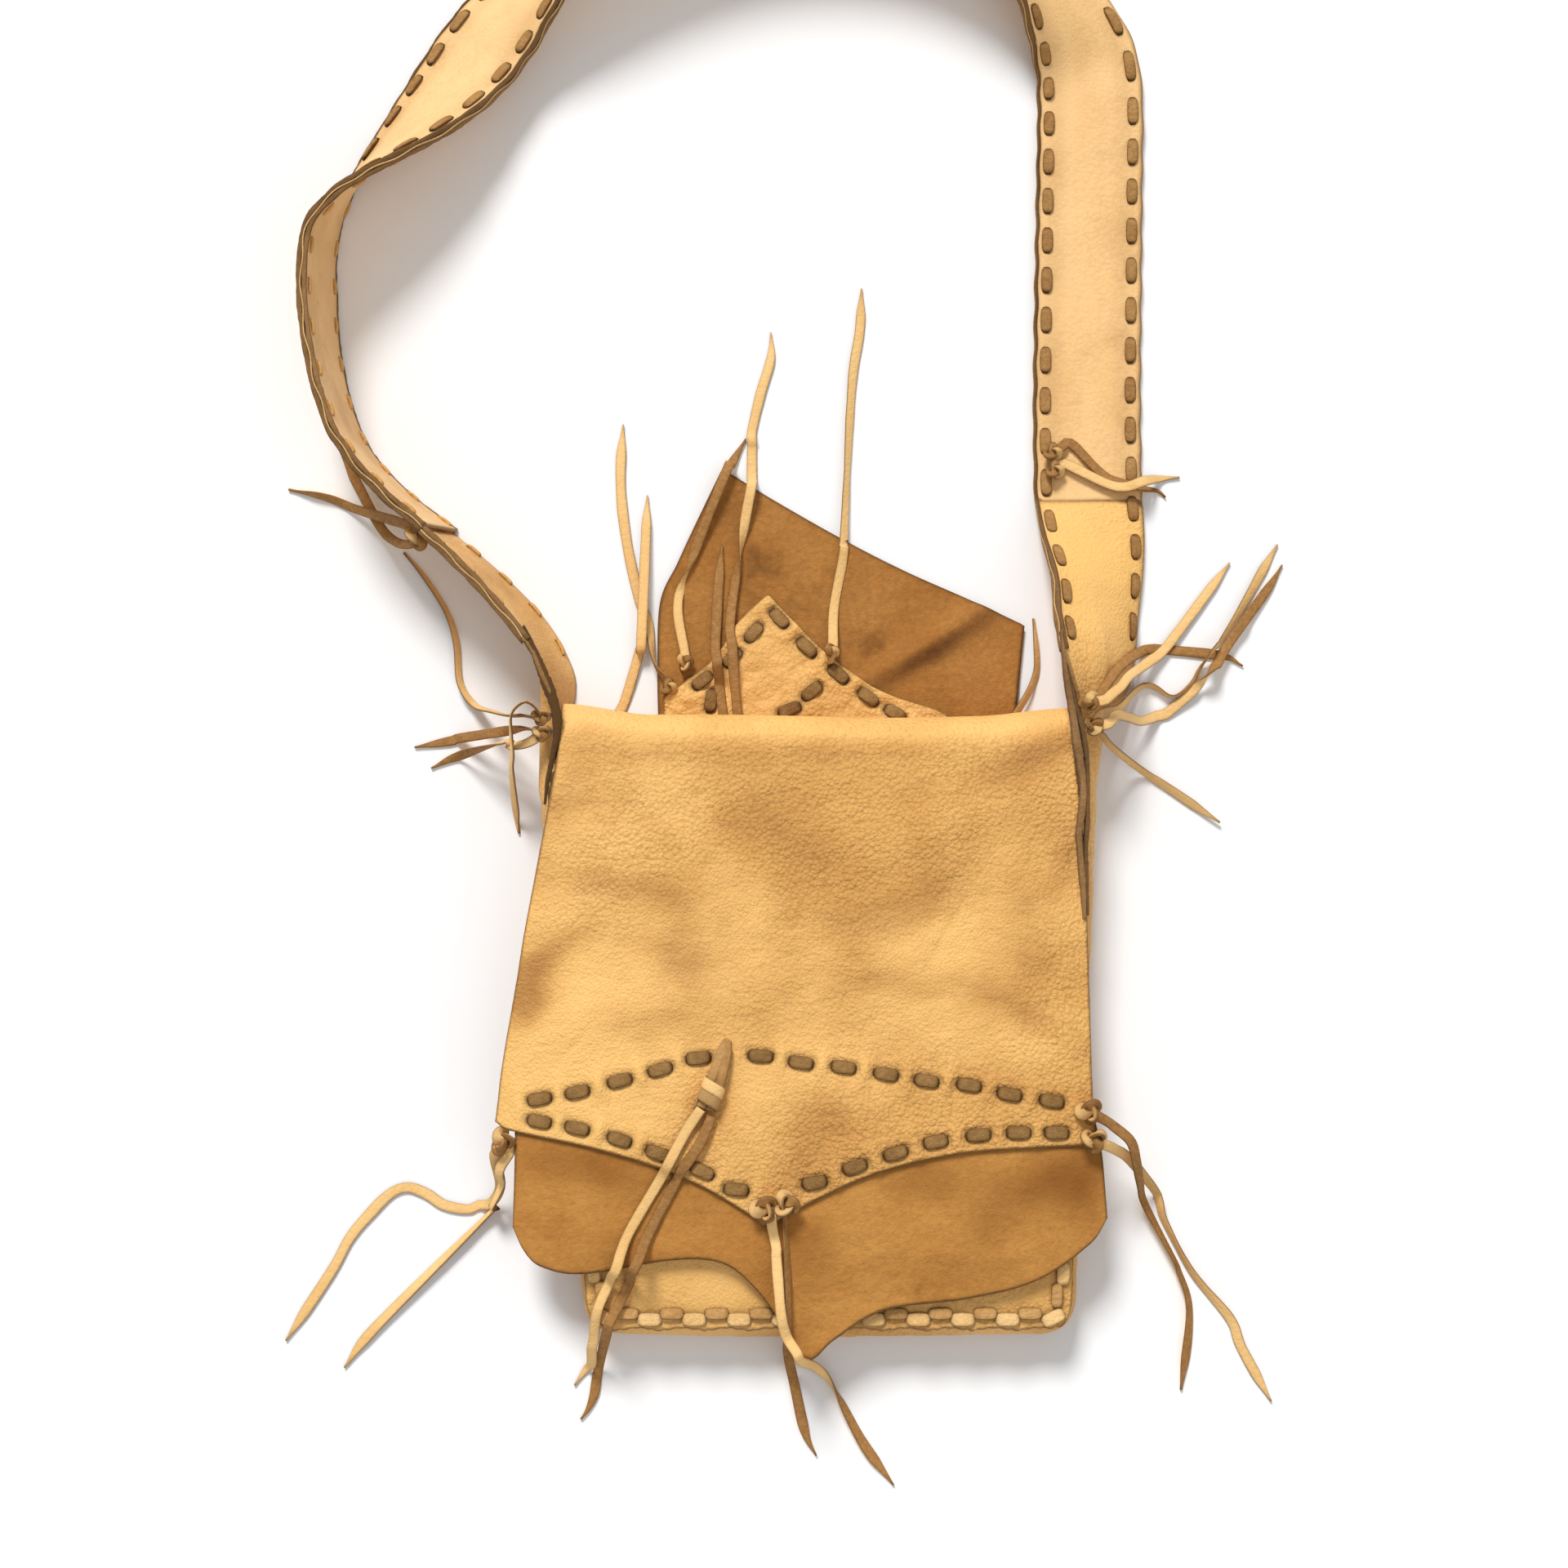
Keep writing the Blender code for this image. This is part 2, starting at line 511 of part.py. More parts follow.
def between(a, b):
    """A station halfway between two, in place, turn and section."""
    (centre_a, across_a, normal_a, _), section_a = a
    (centre_b, across_b, normal_b, _), section_b = b
    across = (across_a + across_b).normalized()
    normal = (normal_a + normal_b).normalized()
    frame = ((centre_a + centre_b) / 2, across, normal, normal.cross(across))
    return frame, [(p + q) / 2 for p, q in zip(section_a, section_b)]


def build_gusset(risers_and_loop):
    """One band round the pouch's sides and bottom, rising as a flat strap at both ends."""
    flat = flat_section()
    left, _, right = risers_and_loop
    right = [pulled(right[0], -GAP / 2), pulled(right[0], -LAP), *right[1:]]
    left = [*left[:-1], pulled(left[-1], LAP), pulled(left[-1], GAP / 2)]
    right, left = [(f, flat) for f in right], [(f, flat) for f in left]
    channel = channel_frames()
    stations = [*right, between(right[-1], channel[0]), *channel, between(channel[-1], left[0]), *left]
    rings = [band_ring(f, section, LAYER_GAP / 2, LAYER_GAP / 2 + LEATHER) for f, section in stations]
    total = len(stations)
    rows = [*range(2, len(right) - 2), *range(total - len(left) + 1, total - 3)]
    bm = loft(rings, rows, (0, 5))
    cut_at(bm, 1, [SINK_FADE[0][0], SINK_FADE[-1][0]])
    settle(bm)
    from_bmesh("gusset", bm, GRAIN)


def seam_outline(top):
    """The seam's path as points, cut off at the given height along the pouch."""
    return [(p.x, min(p.y, top)) for p, _ in seam_path((1, 1, 1))]


def build_front_panel():
    """The pouch's front, cut to the seam and sunk towards its edges."""
    bm = sheet(seam_outline(MOUTH_Y - LAYER_GAP * 2), FRONT_Z - LEATHER, LEATHER)
    grid_cuts(bm)
    settle(bm)
    from_bmesh("front_panel", bm, GRAIN)


def build_back_panel():
    """The pouch's back: its middle on the ground, its laced margin lifted by the lace,
    and its top edge turned up as the lower half of the fold.
    """
    bm = bmesh.new()
    corners = [bm.verts.new((x, y, BACK_MARGIN_Z)) for x, y in seam_outline(MOUTH_Y - FLANGE / 4)]
    lip = [bm.verts.new((x, FOLD_Y, BACK_MARGIN_Z)) for x in (FOLD_LEFT_X, FOLD_RIGHT_X)]
    face = bm.faces.new([*corners, *lip])
    face.normal_update()
    if face.normal.z < 0:
        face.normal_flip()
    for margin in (SEAM_INSET + LACE_WIDTH / 2 + 3 * GAP, DISH_SLOPE):
        bmesh.ops.inset_region(bm, faces=[face], thickness=margin, use_boundary=True)
    bmesh.ops.translate(bm, verts=face.verts, vec=(0, 0, -BACK_MARGIN_Z))
    for k in range(1, FOLD_STEPS + 1):
        turn = math.pi / 2 * k / FOLD_STEPS
        y = FOLD_Y + FOLD_RADIUS * math.sin(turn)
        z = FOLD_Z - FOLD_RADIUS * math.cos(turn)
        row = [bm.verts.new((v.co.x, y, z)) for v in lip]
        bm.faces.new((lip[0], lip[1], row[1], row[0]))
        lip = row
    bmesh.ops.recalc_face_normals(bm, faces=bm.faces)
    face.normal_update()
    if face.normal.z < 0:
        bmesh.ops.reverse_faces(bm, faces=bm.faces)
    mesh = bpy.data.meshes.new("back_panel")
    bm.to_mesh(mesh)
    bm.free()
    panel = add_object("back_panel", mesh, GRAIN)
    wall = panel.modifiers.new("leather", "SOLIDIFY")
    wall.thickness = LEATHER
    wall.offset = 1.0


def build_seam_lace(name, low, colour):
    """The double running lace of a seam, laid round the margin: a band that swells at each
    stitch.
    """
    path = [(p - outward * SEAM_INSET, outward) for p, outward in seam_path()]
    points = [Vector((p.x, p.y, 0)) for p, _ in path]
    steps = spaced(points, STITCH_PITCH / 2)
    rings = []
    for k, p in enumerate(steps):
        before, after = steps[max(k - 1, 0)], steps[min(k + 1, len(steps) - 1)]
        side = (after - before).normalized().cross(Vector((0, 0, 1)))
        swell = 1.0 if k % 2 else 0.6
        half = side * LACE_WIDTH / 2 * swell
        top = low + LACE_THICK * swell
        rings.append([Vector((*(p - half).xy, low)), Vector((*(p + half).xy, low)),
                      Vector((*(p + half * 0.6).xy, top)), Vector((*(p - half * 0.6).xy, top))])
    bm = loft(rings)
    settle(bm)
    from_bmesh(name, bm, colour)


def stitch_frames(points):
    """Each stitch's middle and direction along its row."""
    row = [Vector((x * MM, y * MM)) for x, y in points]
    found = []
    for i, p in enumerate(row):
        along = (row[min(i + 1, len(row) - 1)] - row[max(i - 1, 0)]).normalized()
        found.append((p, along))
    return found


def slot_boxes(stitches):
    """One cutter with two slots for each stitch, where the lace goes down and comes up."""
    bm = bmesh.new()
    for middle, along in stitches:
        side = Vector((-along.y, along.x))
        for end in (-1, 1):
            spot = middle + along * end * STITCH_HALF
            corners = []
            for a, b in ((-1, -1), (1, -1), (1, 1), (-1, 1)):
                corner = spot + along * a * SLOT_LENGTH / 2 + side * b * SLOT_WIDTH / 2
                corners.append(bm.verts.new((corner.x, corner.y, -CUT_PAST)))
            base = bm.faces.new(corners)
            top = bmesh.ops.extrude_face_region(bm, geom=[base])
            moved = [v for v in top["geom"] if isinstance(v, bmesh.types.BMVert)]
            bmesh.ops.translate(bm, verts=moved, vec=(0, 0, FLAP_TOP_Z + 2 * CUT_PAST))
    bmesh.ops.recalc_face_normals(bm, faces=bm.faces)
    mesh = bpy.data.meshes.new("slots")
    bm.to_mesh(mesh)
    bm.free()
    cutter = bpy.data.objects.new("slots", mesh)
    bpy.context.scene.collection.objects.link(cutter)
    cutter.hide_render = True
    cutter.display_type = "WIRE"
    return cutter


def slotted(bm, stitches):
    """The sheet with its lace slots cut."""
    mesh = bpy.data.meshes.new("blank")
    bmesh.ops.recalc_face_normals(bm, faces=bm.faces)
    bm.to_mesh(mesh)
    bm.free()
    blank = bpy.data.objects.new("blank", mesh)
    bpy.context.scene.collection.objects.link(blank)
    cutter = slot_boxes(stitches)
    cut = blank.modifiers.new("slots", "BOOLEAN")
    cut.operation = "DIFFERENCE"
    cut.solver = "EXACT"
    cut.object = cutter
    done = evaluated(blank)
    bpy.data.objects.remove(blank, do_unlink=True)
    bpy.data.objects.remove(cutter, do_unlink=True)
    return done


def lace_body(stitches, under, over):
    """One lace, woven along a row: up through a slot, over the leather and down again."""
    line = []
    for middle, along in stitches:
        side = Vector((-along.y, along.x, 0)) * LACE_WIDTH / 2
        first = Vector((*(middle - along * STITCH_HALF), 0))
        last = Vector((*(middle + along * STITCH_HALF), 0))
        line += [(first, under, side, -1), (first, over, side, -1),
                 (last, over, side, 1), (last, under, side, 1)]
    rings = []
    half = LACE_THICK / 2
    for place, height, side, lean in line:
        along = side.normalized().cross(Vector((0, 0, 1)))
        shift = along * half * lean + Vector((0, 0, half))
        centre = place + Vector((0, 0, height))
        rings.append([centre + shift - side, centre + shift + side,
                      centre - shift + side, centre - shift - side])
    return loft(rings)


def build_lace(name, stitches, under, over, settled):
    """A row's lace, which follows the sunken front if it is settled."""
    bm = lace_body(stitches, under, over)
    if settled:
        grid_cuts(bm)
        settle(bm)
    from_bmesh(name, bm, LACE)


def fold_over(bm):
    """Bends what lies past the fold line down round the fold's upper half."""
    quarter = FOLD_RADIUS * math.pi / 2
    cut_at(bm, 1, [FOLD_Y + quarter * k / FOLD_STEPS for k in range(FOLD_STEPS)])
    for v in bm.verts:
        past = v.co.y - FOLD_Y
        if past > 0:
            turn = past / FOLD_RADIUS
            radius = FOLD_RADIUS - (FLAP_TOP_Z - v.co.z)
            v.co.y = FOLD_Y + radius * math.sin(turn)
            v.co.z = FOLD_Z + radius * math.cos(turn)


def build_front_flap():
    """The front flap with its V edge, and the suede apron laced under it by two rows."""
    upper, lower = stitch_frames(UPPER_STITCHES), stitch_frames(LOWER_STITCHES)
    both = [*upper, *lower]
    quarter = FOLD_RADIUS * math.pi / 2 - HINGE_GAP
    edge = scaled([*FLAP_LEFT, *FLAP_EDGE, *FLAP_RIGHT])
    end = [(FOLD_RIGHT_X, FOLD_Y + quarter), (FOLD_LEFT_X, FOLD_Y + quarter)]
    bm = sheet([*edge, *end], FLAP_Z, LEATHER)
    grid_cuts(bm)
    bm = slotted(bm, both)
    settle(bm)
    fold_over(bm)
    from_bmesh("front_flap", bm, GRAIN)
    bm = sheet(scaled([*APRON_EDGE, *APRON_TOP]), APRON_Z, LEATHER)
    grid_cuts(bm)
    bm = slotted(bm, both)
    settle(bm)
    from_bmesh("front_apron", bm, SUEDE)
    under = APRON_Z - GAP - LACE_THICK / 2
    over = FLAP_TOP_Z + GAP + LACE_THICK / 2
    build_lace("flap_lace_upper", upper, under, over, True)
    build_lace("flap_lace_lower", lower, under, over, True)


def build_rear_flap():
    """The rear flap and its apron, laced as the front ones are and swung up past the mouth."""
    right, left = stitch_frames(REAR_RIGHT_STITCHES), stitch_frames(REAR_LEFT_STITCHES)
    both = [*right, *left]
    bm = slotted(sheet(scaled(REAR_APRON_EDGE), REAR_APRON_Z, LEATHER), both)
    from_bmesh("rear_apron", bm, SUEDE)
    bm = slotted(sheet(scaled(REAR_FLAP_EDGE), REAR_FLAP_Z, LEATHER), both)
    from_bmesh("rear_flap", bm, GRAIN)
    under = REAR_APRON_Z - GAP - LACE_THICK / 2
    over = REAR_FLAP_Z + LEATHER + GAP + LACE_THICK / 2
    build_lace("rear_lace_right", right, under, over, False)
    build_lace("rear_lace_left", left, under, over, False)


def build_knot(name, x, y, z, length, width, height, turn):
    """A pulled knot: two bulges with a waist between them, drawn in at both ends."""
    rings = []
    bearing = math.radians(turn)
    along = Vector((math.cos(bearing), math.sin(bearing), 0))
    side = Vector((-along.y, along.x, 0))
    for place, swell in KNOT_PROFILE:
        ring = []
        for k in range(KNOT_SIDES):
            around = 2 * math.pi * k / KNOT_SIDES
            point = Vector((x, y, z)) + along * place * length / 2
            point += side * math.cos(around) * swell * width / 2
            point += Vector((0, 0, math.sin(around) * swell * height / 2))
            ring.append(point * MM)
        rings.append(ring)
    from_bmesh(name, loft(rings), LACE)


def build_thong(name, points):
    """A flat thong lying along its route, tapered to a point at its far end."""
    route = spaced(smooth(scaled(points), 6), THONG_STEP)
    curve = bpy.data.curves.new(name, "CURVE")
    curve.dimensions = "3D"
    curve.twist_mode = "Z_UP"
    curve.bevel_depth = THONG_THICK / 2
    curve.bevel_resolution = 0
    curve.extrude = (THONG_WIDTH - THONG_THICK) / 2
    curve.use_fill_caps = True
    line = curve.splines.new("POLY")
    line.points.add(len(route) - 1)
    for point, place in zip(line.points, route):
        point.co = (*place, 1.0)
        point.tilt = math.pi / 2
    line.points[-1].radius = TIP_SCALE
    add_object(name, curve, THONG)


def clear_scene():
    for obj in list(bpy.data.objects):
        bpy.data.objects.remove(obj, do_unlink=True)


def main():
    clear_scene()
    risers_and_loop = strap_frames()
    build_strap(risers_and_loop)
    build_gusset(risers_and_loop)
    build_front_panel()
    build_back_panel()
    build_seam_lace("front_seam_lace", SEAM_LACE_Z, LACE)
    build_seam_lace("back_seam_lace", 0.0, LACE)
    build_front_flap()
    build_rear_flap()
    for name, knot in KNOTS.items():
        build_knot(name, *knot)
    build_thong("closure_strand", CLOSURE_STRAND)
    for name, points in TAILS.items():
        build_thong(name, points)


main()
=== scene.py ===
"""Looks of the laced leather sling bag: grain and suede leather, running laces, loose thongs."""

import json
import math

import bpy
import numpy as np
from mathutils import Vector
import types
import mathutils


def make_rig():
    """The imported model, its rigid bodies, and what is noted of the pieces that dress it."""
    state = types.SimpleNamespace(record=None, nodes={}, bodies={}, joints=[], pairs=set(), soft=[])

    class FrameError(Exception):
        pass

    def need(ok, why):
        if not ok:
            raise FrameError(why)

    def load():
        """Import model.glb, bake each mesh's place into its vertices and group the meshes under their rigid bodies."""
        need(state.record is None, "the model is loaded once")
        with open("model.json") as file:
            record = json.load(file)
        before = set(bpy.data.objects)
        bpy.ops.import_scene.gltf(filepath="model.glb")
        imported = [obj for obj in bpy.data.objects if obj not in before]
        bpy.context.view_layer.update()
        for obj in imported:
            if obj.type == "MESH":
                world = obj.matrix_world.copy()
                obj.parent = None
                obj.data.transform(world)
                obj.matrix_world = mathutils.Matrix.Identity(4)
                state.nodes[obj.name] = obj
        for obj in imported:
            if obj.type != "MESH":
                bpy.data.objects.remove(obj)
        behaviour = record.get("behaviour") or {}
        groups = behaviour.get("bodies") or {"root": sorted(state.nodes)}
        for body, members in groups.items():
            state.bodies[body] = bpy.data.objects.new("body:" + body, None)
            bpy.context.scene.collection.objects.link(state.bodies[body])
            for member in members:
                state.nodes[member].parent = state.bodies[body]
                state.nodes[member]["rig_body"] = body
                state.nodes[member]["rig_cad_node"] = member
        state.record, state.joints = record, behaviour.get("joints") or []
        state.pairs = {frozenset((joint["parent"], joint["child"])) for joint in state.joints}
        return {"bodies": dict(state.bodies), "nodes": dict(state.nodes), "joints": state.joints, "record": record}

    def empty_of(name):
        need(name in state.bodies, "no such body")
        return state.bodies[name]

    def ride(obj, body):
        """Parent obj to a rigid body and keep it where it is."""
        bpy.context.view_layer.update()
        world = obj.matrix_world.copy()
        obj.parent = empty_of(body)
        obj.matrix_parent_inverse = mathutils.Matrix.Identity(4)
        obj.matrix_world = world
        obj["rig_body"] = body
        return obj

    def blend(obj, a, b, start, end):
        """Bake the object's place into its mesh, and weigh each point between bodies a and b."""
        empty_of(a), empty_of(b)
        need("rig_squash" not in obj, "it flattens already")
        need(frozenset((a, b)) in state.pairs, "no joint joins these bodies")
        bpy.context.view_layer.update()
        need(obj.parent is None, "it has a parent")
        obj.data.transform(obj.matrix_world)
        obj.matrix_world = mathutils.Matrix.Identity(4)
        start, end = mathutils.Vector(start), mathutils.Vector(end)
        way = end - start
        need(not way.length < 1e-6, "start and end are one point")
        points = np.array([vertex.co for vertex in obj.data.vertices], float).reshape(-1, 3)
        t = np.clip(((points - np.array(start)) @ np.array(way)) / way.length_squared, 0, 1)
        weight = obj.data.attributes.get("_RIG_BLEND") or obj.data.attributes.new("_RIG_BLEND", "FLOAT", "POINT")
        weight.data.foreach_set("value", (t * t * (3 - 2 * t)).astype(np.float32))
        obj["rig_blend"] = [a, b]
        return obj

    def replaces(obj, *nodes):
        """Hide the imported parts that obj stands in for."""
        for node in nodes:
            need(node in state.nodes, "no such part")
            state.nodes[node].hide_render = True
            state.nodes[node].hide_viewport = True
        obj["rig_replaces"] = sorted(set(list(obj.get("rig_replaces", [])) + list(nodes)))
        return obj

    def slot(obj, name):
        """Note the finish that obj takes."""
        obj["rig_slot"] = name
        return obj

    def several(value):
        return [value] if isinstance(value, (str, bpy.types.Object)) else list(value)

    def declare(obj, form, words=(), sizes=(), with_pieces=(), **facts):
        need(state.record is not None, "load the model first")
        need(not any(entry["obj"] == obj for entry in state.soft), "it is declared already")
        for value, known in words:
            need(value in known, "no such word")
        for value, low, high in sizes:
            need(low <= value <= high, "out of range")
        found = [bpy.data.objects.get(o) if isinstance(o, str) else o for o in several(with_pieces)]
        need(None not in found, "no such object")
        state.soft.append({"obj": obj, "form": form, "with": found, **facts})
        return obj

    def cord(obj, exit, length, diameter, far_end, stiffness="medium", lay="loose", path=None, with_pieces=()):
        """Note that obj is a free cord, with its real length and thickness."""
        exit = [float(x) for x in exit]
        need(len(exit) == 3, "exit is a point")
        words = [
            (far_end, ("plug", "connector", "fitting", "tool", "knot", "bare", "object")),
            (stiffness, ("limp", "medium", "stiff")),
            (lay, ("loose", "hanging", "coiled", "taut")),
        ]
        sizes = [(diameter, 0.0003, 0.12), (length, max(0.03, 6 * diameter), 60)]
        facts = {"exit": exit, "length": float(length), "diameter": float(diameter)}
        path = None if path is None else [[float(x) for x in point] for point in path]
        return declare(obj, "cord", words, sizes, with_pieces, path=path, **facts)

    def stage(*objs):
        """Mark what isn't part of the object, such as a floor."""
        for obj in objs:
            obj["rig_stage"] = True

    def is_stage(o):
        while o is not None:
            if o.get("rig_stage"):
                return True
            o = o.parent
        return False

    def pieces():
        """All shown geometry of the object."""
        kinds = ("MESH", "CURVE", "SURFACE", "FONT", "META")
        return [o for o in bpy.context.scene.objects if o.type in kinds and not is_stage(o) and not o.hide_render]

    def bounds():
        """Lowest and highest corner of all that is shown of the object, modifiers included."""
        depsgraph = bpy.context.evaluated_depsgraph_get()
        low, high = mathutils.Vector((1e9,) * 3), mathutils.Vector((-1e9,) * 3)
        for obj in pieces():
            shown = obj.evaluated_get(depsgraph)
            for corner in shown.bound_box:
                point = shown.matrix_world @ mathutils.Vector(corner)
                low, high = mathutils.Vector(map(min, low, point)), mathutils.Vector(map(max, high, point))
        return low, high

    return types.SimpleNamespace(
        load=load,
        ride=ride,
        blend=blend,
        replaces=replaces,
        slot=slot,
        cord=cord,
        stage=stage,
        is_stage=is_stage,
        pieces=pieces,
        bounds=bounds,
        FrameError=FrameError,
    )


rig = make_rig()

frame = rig.load()
cad_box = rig.bounds()

MM = 0.001

# Sizes of the bag, in metres
LEATHER = 0.0018
LACE_THICK = 0.0014
LACE_WIDTH = 0.0058
THONG_WIDTH = 0.0048
THONG_THICK = 0.0014
GAP = 0.0003
LAYER_GAP = 0.0006
MOUTH_Y = 0.112
BOTTOM_Y = -0.138
CORNER_RADIUS = 0.012
FRONT_Z = 0.034
FLANGE = 0.009
MOUTH_FLANGE = 0.002
SIDE_BULGE = 0.009
BOTTOM_BULGE = 0.004
CORNER_BULGE = 0.0015
SEAM_INSET = 0.0055
FOLD_Y = 0.121
STRAP_WIDTH = 0.050
STITCH_PITCH = 0.020
STITCH_HALF = 0.0051

# The strap's laces: how far from its middle, their width, the length left free, half a stitch
EDGE_LACE = 0.0204
EDGE_LACE_WIDTH = 0.0054
EDGE_LACE_SPARE = 0.020
EDGE_STITCH_HALF = 0.006

# The band's flat margin, and how far apart a thong's points are and how long it tapers
BAND_MARGIN = 0.014
THONG_STEP = 0.0022
THONG_TAPER = 0.017

# Heights of the layers, from the leather and the lace between them
BACK_MARGIN_Z = LACE_THICK + GAP
BACK_FLANGE_Z = BACK_MARGIN_Z + LEATHER + GAP + LEATHER / 2
FRONT_FLANGE_Z = FRONT_Z - LEATHER - LAYER_GAP - LEATHER / 2
APRON_Z = FRONT_Z + 3 * GAP + 2 * LACE_THICK
FLAP_Z = APRON_Z + LEATHER + GAP
FLAP_TOP_Z = FLAP_Z + LEATHER
FOLD_RADIUS = (FLAP_TOP_Z - BACK_MARGIN_Z) / 2
FOLD_Z = BACK_MARGIN_Z + FOLD_RADIUS
REAR_APRON_Z = LACE_THICK + GAP
REAR_FLAP_Z = REAR_APRON_Z + LEATHER + GAP

# Nothing below FIRM_Z sags, and CLEAR keeps the thongs off the ground. The strap's outer cut edge
# is tucked under from TUCKED_FROM_X on, and the risers' cut edges show from RISER_EDGE_FROM_Y up
FIRM_Z = 0.0065
CLEAR = 0.0001
TUCKED_FROM_X = 0.115
RISER_EDGE_FROM_Y = (0.166, 0.168)
UP = np.array([0, 0, 1.0])

# The pouch's four corners are given right of the mouth first, going round by the bottom
CORNERS = np.array([(0.126, MOUTH_Y), (0.119, BOTTOM_Y), (-0.097, BOTTOM_Y), (-0.118, MOUTH_Y)])

# How far the pouch's height drops: across it, along it, and how the first fades at the mouth
SINK_ACROSS = [(-0.142, -0.0075), (-0.118, -0.0025), (-0.090, 0.0), (0.090, 0.0),
               (0.118, -0.0020), (0.142, -0.0060)]
SINK_ALONG = [(-0.155, -0.013), (-0.138, -0.011), (-0.105, -0.005), (-0.060, -0.001),
              (-0.030, 0.0)]
SINK_FADE = [(0.060, 1.0), (0.073, 0.67), (0.087, 0.33), (0.100, 0.0)]

# Lights as name, place, angle in degrees and strength, then the camera, in metres
SUNS = [("key", (-0.30, 0.95, 0.95), 18, 2.85), ("fill", (0.6, -0.8, 1.2), 60, 0.5)]
CAMERA_PLACE = (-0.009625, -0.048399, 1.138808)
CAMERA_TARGET = (-0.009625, 0.11165, 0)

# Outlines and stitch rows as x and y in millimetres
FOLD_ENDS = (-114, 124)
FLAP_CORNER = (-139, -46)
FLAP_LEFT = [(-138, -38), (-136, -20), (-130, 17), (-124, 54), (-117, 91), (-112, 121)]
FLAP_EDGE = [(-138, -46), (-131, -50), (-97, -57), (-66, -66), (-43, -76), (-23, -88), (-16, -91),
             (5, -80), (33, -68), (68, -60), (107, -57), (129, -56)]
FLAP_RIGHT = [(128, -20), (127, 54), (125, 91), (122, 121)]
APRON_EDGE = [(-131, -93), (-126, -103), (-118, -110), (-99, -113), (-61, -107),
              (-38, -108), (-23, -119), (-10, -136), (1, -151), (13, -142), (35, -129),
              (72, -124), (103, -116), (127, -100), (135, -89)]
APRON_TOP = [(-132, -33), (-90, -20), (-50, -6), (-20, -6), (60, -18), (126, -33)]
UPPER_STITCHES = [(-119, -36), (-102, -33), (-83, -28), (-65, -23), (-48, -18), (-20, -17),
                  (-2, -20), (17, -22), (36, -25), (54, -28), (73, -30), (91, -34), (110, -37)]
LOWER_STITCHES = [(-119, -46), (-102, -49), (-83, -54), (-66, -60), (-46, -68), (-31, -76),
                  (4, -73), (22, -66), (40, -60), (58, -55), (77, -52), (95, -51), (112, -51)]
REAR_FLAP_EDGES = [[(-66, 134), (80, 134)],
                   [(-66, 152), (-55, 160), (-45, 168), (-38, 177), (-33, 186), (-27, 192.5),
                    (-20.5, 198.5), (-17.2, 201), (-14, 198), (-5, 188.5), (7, 176), (22, 164),
                    (38, 154), (62, 146)],
                   [(-66, 134), (-66, 152)], [(80, 134), (72, 140), (62, 146)]]
REAR_APRON_EDGES = [[(-68, 131), (98, 131)],
                    [(-39, 263), (-10, 245), (21, 227), (50, 212), (81, 198), (104, 187)],
                    [(-68, 131), (-69, 165), (-68, 198), (-60, 217), (-52, 235), (-39, 263)],
                    [(98, 131), (101, 160), (104, 187)]]
REAR_RIGHT_STITCHES = [(-12, 190), (1, 176), (16, 163), (30, 152)]
REAR_LEFT_STITCHES = [(-24, 183), (-34, 171), (-48, 160)]

# Single stitches as x, y and turn, and the band's routes as x, y and tilt, in millimetres and
# degrees
REAR_INNER_STITCHES = [(3.5, 154.8, 40), (-44, 150.5, 80), (-7, 146, 20), (42.5, 144.5, -30)]
STRAP_ROUTE = [(-171, 228, 104), (-194, 247, 102), (-212, 268, 100), (-222, 291, 98),
               (-229, 322, 97), (-231, 350, 96), (-229, 373, 90), (-217, 395, 72),
               (-199, 416, 54), (-181, 437, 37), (-165, 459, 24), (-150, 481, 22),
               (-126, 507, 40), (-92, 530, 64), (-50, 546, 78), (-5, 553, 82),
               (42, 549, 78), (84, 532, 64), (116, 506, 40), (134, 480, 14),
               (140, 455, 0), (139, 400, 0), (137, 330, 0), (136, 290, 0), (136, 247, 2)]
RIGHT_RISER = [(136, 247, 2), (137, 230, 12), (138, 212, 27), (139, 192, 42), (141, 173, 56),
               (139, 154, 66)]
LEFT_RISER = [(-118, 152, 114), (-121, 171, 111), (-133, 191, 108), (-151, 210, 106),
              (-171, 228, 104)]

